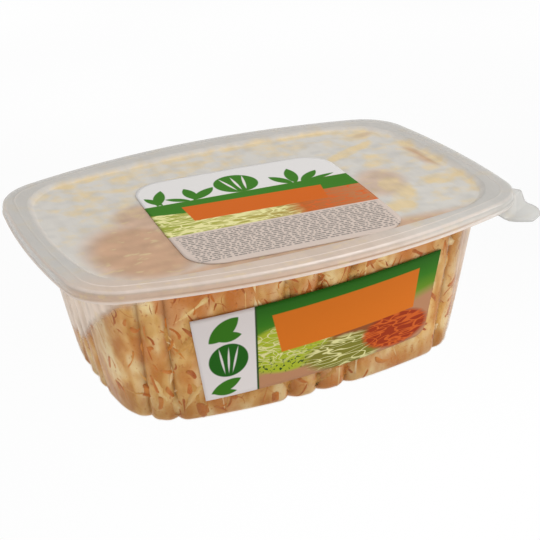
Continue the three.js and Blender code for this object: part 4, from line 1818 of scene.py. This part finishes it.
@dataclass
class TopLabel(Piece):
    """Printed paper on the lid's panel: a square with bowed sides and rounded corners."""

    width: float = 75.4
    depth: float = 79.0
    x: float = -1.2
    y: float = -9.9
    z: float = 56.44
    turn: float = -4.6
    corner: float = 11.5
    bow: float = 0.7
    sheet: float = 0.25
    shrinks: tuple[float, ...] = (1.0, 0.97, 0.9, 0.8, 0.65, 0.5, 0.35, 0.2, 0.08)
    row_height: float = 1.45  # of the fine print's rows
    word_share: float = 0.8  # noise along a row for each millimetre

    def shape(self) -> tuple[Shape, np.ndarray]:
        """The sheet, turned and in its place.

        Returns:
            The sheet, and its points' places on the label before it is turned.
        """
        halves = (self.width / 2, self.depth / 2)
        arcs = ((half**2 + self.bow**2) / (2 * self.bow) for half in halves)
        outline = Outline(*halves, *arcs, self.corner)
        flat, _ = outline.at(np.linspace(0, outline.quarter_run, 60))
        edge = full_ring(np.column_stack([flat, np.zeros(len(flat))]))
        under = [edge * (s, s, 1) for s in self.shrinks[::-1]]
        over = [edge * (s, s, 1) + (0, 0, self.sheet) for s in self.shrinks]
        shape = skinned([*under, *over])
        local = shape.points[:, :2].copy()
        angle = math.radians(self.turn)
        spin = np.array([[math.cos(angle), math.sin(angle)], [-math.sin(angle), math.cos(angle)]])
        shape.points[:, :2] = local @ spin + (self.x, self.y)
        shape.points[:, 2] += self.z
        return shape, local

    def fine_print(self, art: Print) -> list[Any]:
        """Grey rows broken into words.

        Args:
            art: The print that they are for.

        Returns:
            Their masks.
        """
        finish = art.finish
        line = finish.add("Math", {0: art.y, 1: self.row_height}, operation="DIVIDE")[0]
        row = finish.add("Math", {0: line}, operation="FLOOR")[0]
        within = finish.add("Math", {0: line, 1: row}, operation="SUBTRACT")[0]
        within = finish.add("Math", {0: within, 1: 0.5}, operation="SUBTRACT")[0]
        within = finish.add("Math", {0: within}, operation="ABSOLUTE")[0]
        run = finish.add("Math", {0: art.x, 1: self.word_share}, operation="MULTIPLY")[0]
        grid = finish.add("CombineXYZ", {0: run, 1: row})[0]
        word = finish.add("TexNoise", {"Vector": grid, "Scale": 1.0, "Detail": 1.0})["Fac"]
        return [art.past(within, 0.34, 0.2), art.past(word, 0.43, 0.51)]

    def printed(self) -> bpy.types.Material:
        """Top print: leaves over a green band, a panel, a strip of shreds and fine grey rows.

        Returns:
            The finished material.
        """
        art = Print("varnished_label_paper_top", Ink.COOL_WHITE)
        low_field = [(-60, -60), (60, -60), (60, -12.4), (-60, -12.2)]
        art.lay(Ink.BEIGE, art.patch(low_field))
        strip = art.patch([(-60, -12.2), (60, -12.4), (60, 15.6), (-60, 16.4)])
        greens = [(0.0, "#97a03a"), (0.3, "#aaa54c"), (0.56, "#a8934a")]
        browns = [(0.66, "#b45e1e"), (1.0, "#b9774a")]
        across = art.past(art.x, -38, 38)
        art.lay(art.finish.add("ValToRGB", {0: across}, [*greens, *browns])[0], strip)
        pale = [strip, art.past(art.x, 12, 4)]
        art.tangle(Ink.PALE, pale, {21: 20, 22: -25, 23: 45, 24: 0}, (3.4, 16, 0.9))
        orange = [strip, art.past(art.x, 8, 14)]
        art.tangle(Ink.GINGER, orange, {25: 15, 26: -30}, (3.0, 11, 0.8))
        band = [(-60, 13), (-27, 6), (60, 4), (60, 15.6), (-60, 16.4)]
        art.lay(Ink.LEAF_GREEN, art.patch(band))
        panel = [(-25.3, -2.2), (22.7, -3.2), (25.0, 9.4), (-25.8, 11.4)]
        art.lay(Ink.DEEP_ORANGE, art.patch(panel))
        sprigs = [
            ((-33, 16), (-28, 30), 4.2),
            ((-31, 16), (-35.5, 25), 3.2),
            ((-20, 16), (-10, 25), 4.6),
            ((-19, 16), (-20, 28), 4.4),
            ((-21, 16), (-29, 21), 3.0),
            ((17, 15), (11, 25), 4.0),
            ((18, 15), (20, 30), 4.6),
            ((20, 15), (29, 24), 4.0),
            ((21, 15), (34, 18.5), 2.6),
        ]
        for sprig in sprigs:
            art.leaf(Ink.LEAF_GREEN, *sprig)
        art.cabbage(Ink.LEAF_GREEN, (-1.5, 24.5), (8.0, 8.6), (6.5, 4.4, 0.9))
        block = art.patch([(-34, -36), (35, -36), (36, -13.6), (-36, -13.6)], 0.8)
        art.lay(Ink.GREY, block, *self.fine_print(art))
        return art.paper()

    def build(self) -> None:
        """Make and dress the label."""
        shape, local = self.shape()
        piece = shape.to_object("top_label_sheet")
        set_face_map(piece, local)
        self.settle(piece, self.printed(), "label_top", "label_top")


# ---- studio -------------------------------------------------------------------------------


@dataclass
class Studio:
    """White sweep, soft lights and the camera."""

    azimuth: float = 0.4181
    elevation: float = 0.4292
    roll: float = -0.0531
    place: Triple = (-0.17084, -0.39435, 0.22466)
    lens: float = 88.149
    sensor: float = 36.0
    clip: Pair = (0.01, 50.0)
    aim: Triple = (0.0, 0.0, 0.03)  # point that the lights face, in metres
    dome: str = "#f2f2f4"
    dome_power: float = 0.5
    floor_radii: Pair = (600.0, 3000.0)  # of its inner disc and of the whole
    floor_sides: int = 64
    floor_drop: float = 0.05  # below the tub's base, so that the two never share a plane
    boxes: tuple[tuple[str, Triple, Pair, float], ...] = (  # name, place, size and power
        ("soft_box_high", (-0.25, 0.35, 0.95), (0.9, 0.6), 3.0),
        ("soft_box_right", (0.9, -0.4, 0.35), (0.25, 0.6), 2.5),
        ("soft_box_front", (0.37, -0.42, 0.83), (0.4, 0.3), 3.6),
    )

    def camera(self) -> None:
        """Stand the camera in front, left and above, looking down at the tub."""
        sin_a, cos_a = math.sin(self.azimuth), math.cos(self.azimuth)
        sin_e, cos_e = math.sin(self.elevation), math.cos(self.elevation)
        ahead = Vector((sin_a * cos_e, cos_a * cos_e, -sin_e))
        level = Vector((cos_a, -sin_a, 0.0))
        up = level.cross(ahead)
        right = math.cos(self.roll) * level + math.sin(self.roll) * up
        high = math.cos(self.roll) * up - math.sin(self.roll) * level
        data = bpy.data.cameras.new("camera")
        data.lens, data.sensor_width = self.lens, self.sensor
        data.clip_start, data.clip_end = self.clip
        eye = bpy.data.objects.new("camera", data)
        axes = Matrix((right, high, -ahead)).transposed().to_4x4()
        eye.matrix_world = Matrix.Translation(self.place) @ axes
        bpy.context.collection.objects.link(eye)
        bpy.context.scene.camera = eye

    def floor(self) -> None:
        """A wide white sheet that glows enough to read as a lit sweep."""
        count = self.floor_sides
        around = np.linspace(0, 2 * np.pi, count, endpoint=False)
        rim = np.column_stack([np.cos(around), np.sin(around), np.zeros(count)])
        points = np.concatenate([rim * radius for radius in self.floor_radii])
        faces: list[tuple[int, ...]] = [tuple(range(count))]
        for k in range(count):
            faces.append((k, count + k, count + (k + 1) % count, (k + 1) % count))
        shape = Shape(points - (0, 0, self.floor_drop), faces)
        sheet = shape.to_object("studio_floor", smooth=False)
        finish = Finish("lit_white_acrylic_sweep")
        shades = [(0.3, "#fbfbfb"), (0.7, "#ffffff")]
        shade = finish.add("ValToRGB", {0: finish.blotches(400, 1)}, shades)[0]
        glow = finish.add("Emission", {"Color": shade, "Strength": 1.0})[0]
        sheet.data.materials.append(finish.ending(glow))

    def lights(self) -> None:
        """A dome of pale light and the soft boxes."""
        world = bpy.data.worlds.new("studio_dome")
        world.use_nodes = True
        ground = world.node_tree.nodes["Background"]
        ground.inputs["Color"].default_value = linear(self.dome)
        ground.inputs["Strength"].default_value = self.dome_power
        bpy.context.scene.world = world
        for name, place, (wide, deep), power in self.boxes:
            data = bpy.data.lights.new(name, "AREA")
            data.shape, data.size, data.size_y, data.energy = "RECTANGLE", wide, deep, power
            box = bpy.data.objects.new(name, data)
            box.location = place
            aim = Vector(self.aim) - Vector(place)
            box.rotation_euler = aim.to_track_quat("-Z", "Y").to_euler()
            bpy.context.collection.objects.link(box)

    def build(self) -> None:
        """Set up the whole studio."""
        bpy.context.scene.view_settings.view_transform = "Standard"
        self.camera()
        self.floor()
        self.lights()


def main() -> None:
    """Build every sub-assembly in order."""
    logging.basicConfig(level=logging.INFO, format="%(name)s: %(message)s")
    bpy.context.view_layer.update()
    wall, surface = FlutedWall(), SaladSurface()
    Studio().build()
    lid = Lid(mouth=wall.mouth)
    Tub(wall=wall, surface=surface, lid_outline=lid.outline).build()
    lid.build()
    Salad(wall=wall, surface=surface).build()
    FrontLabel(wall=wall).build()
    TopLabel().build()


if __name__ == "__main__":
    main()
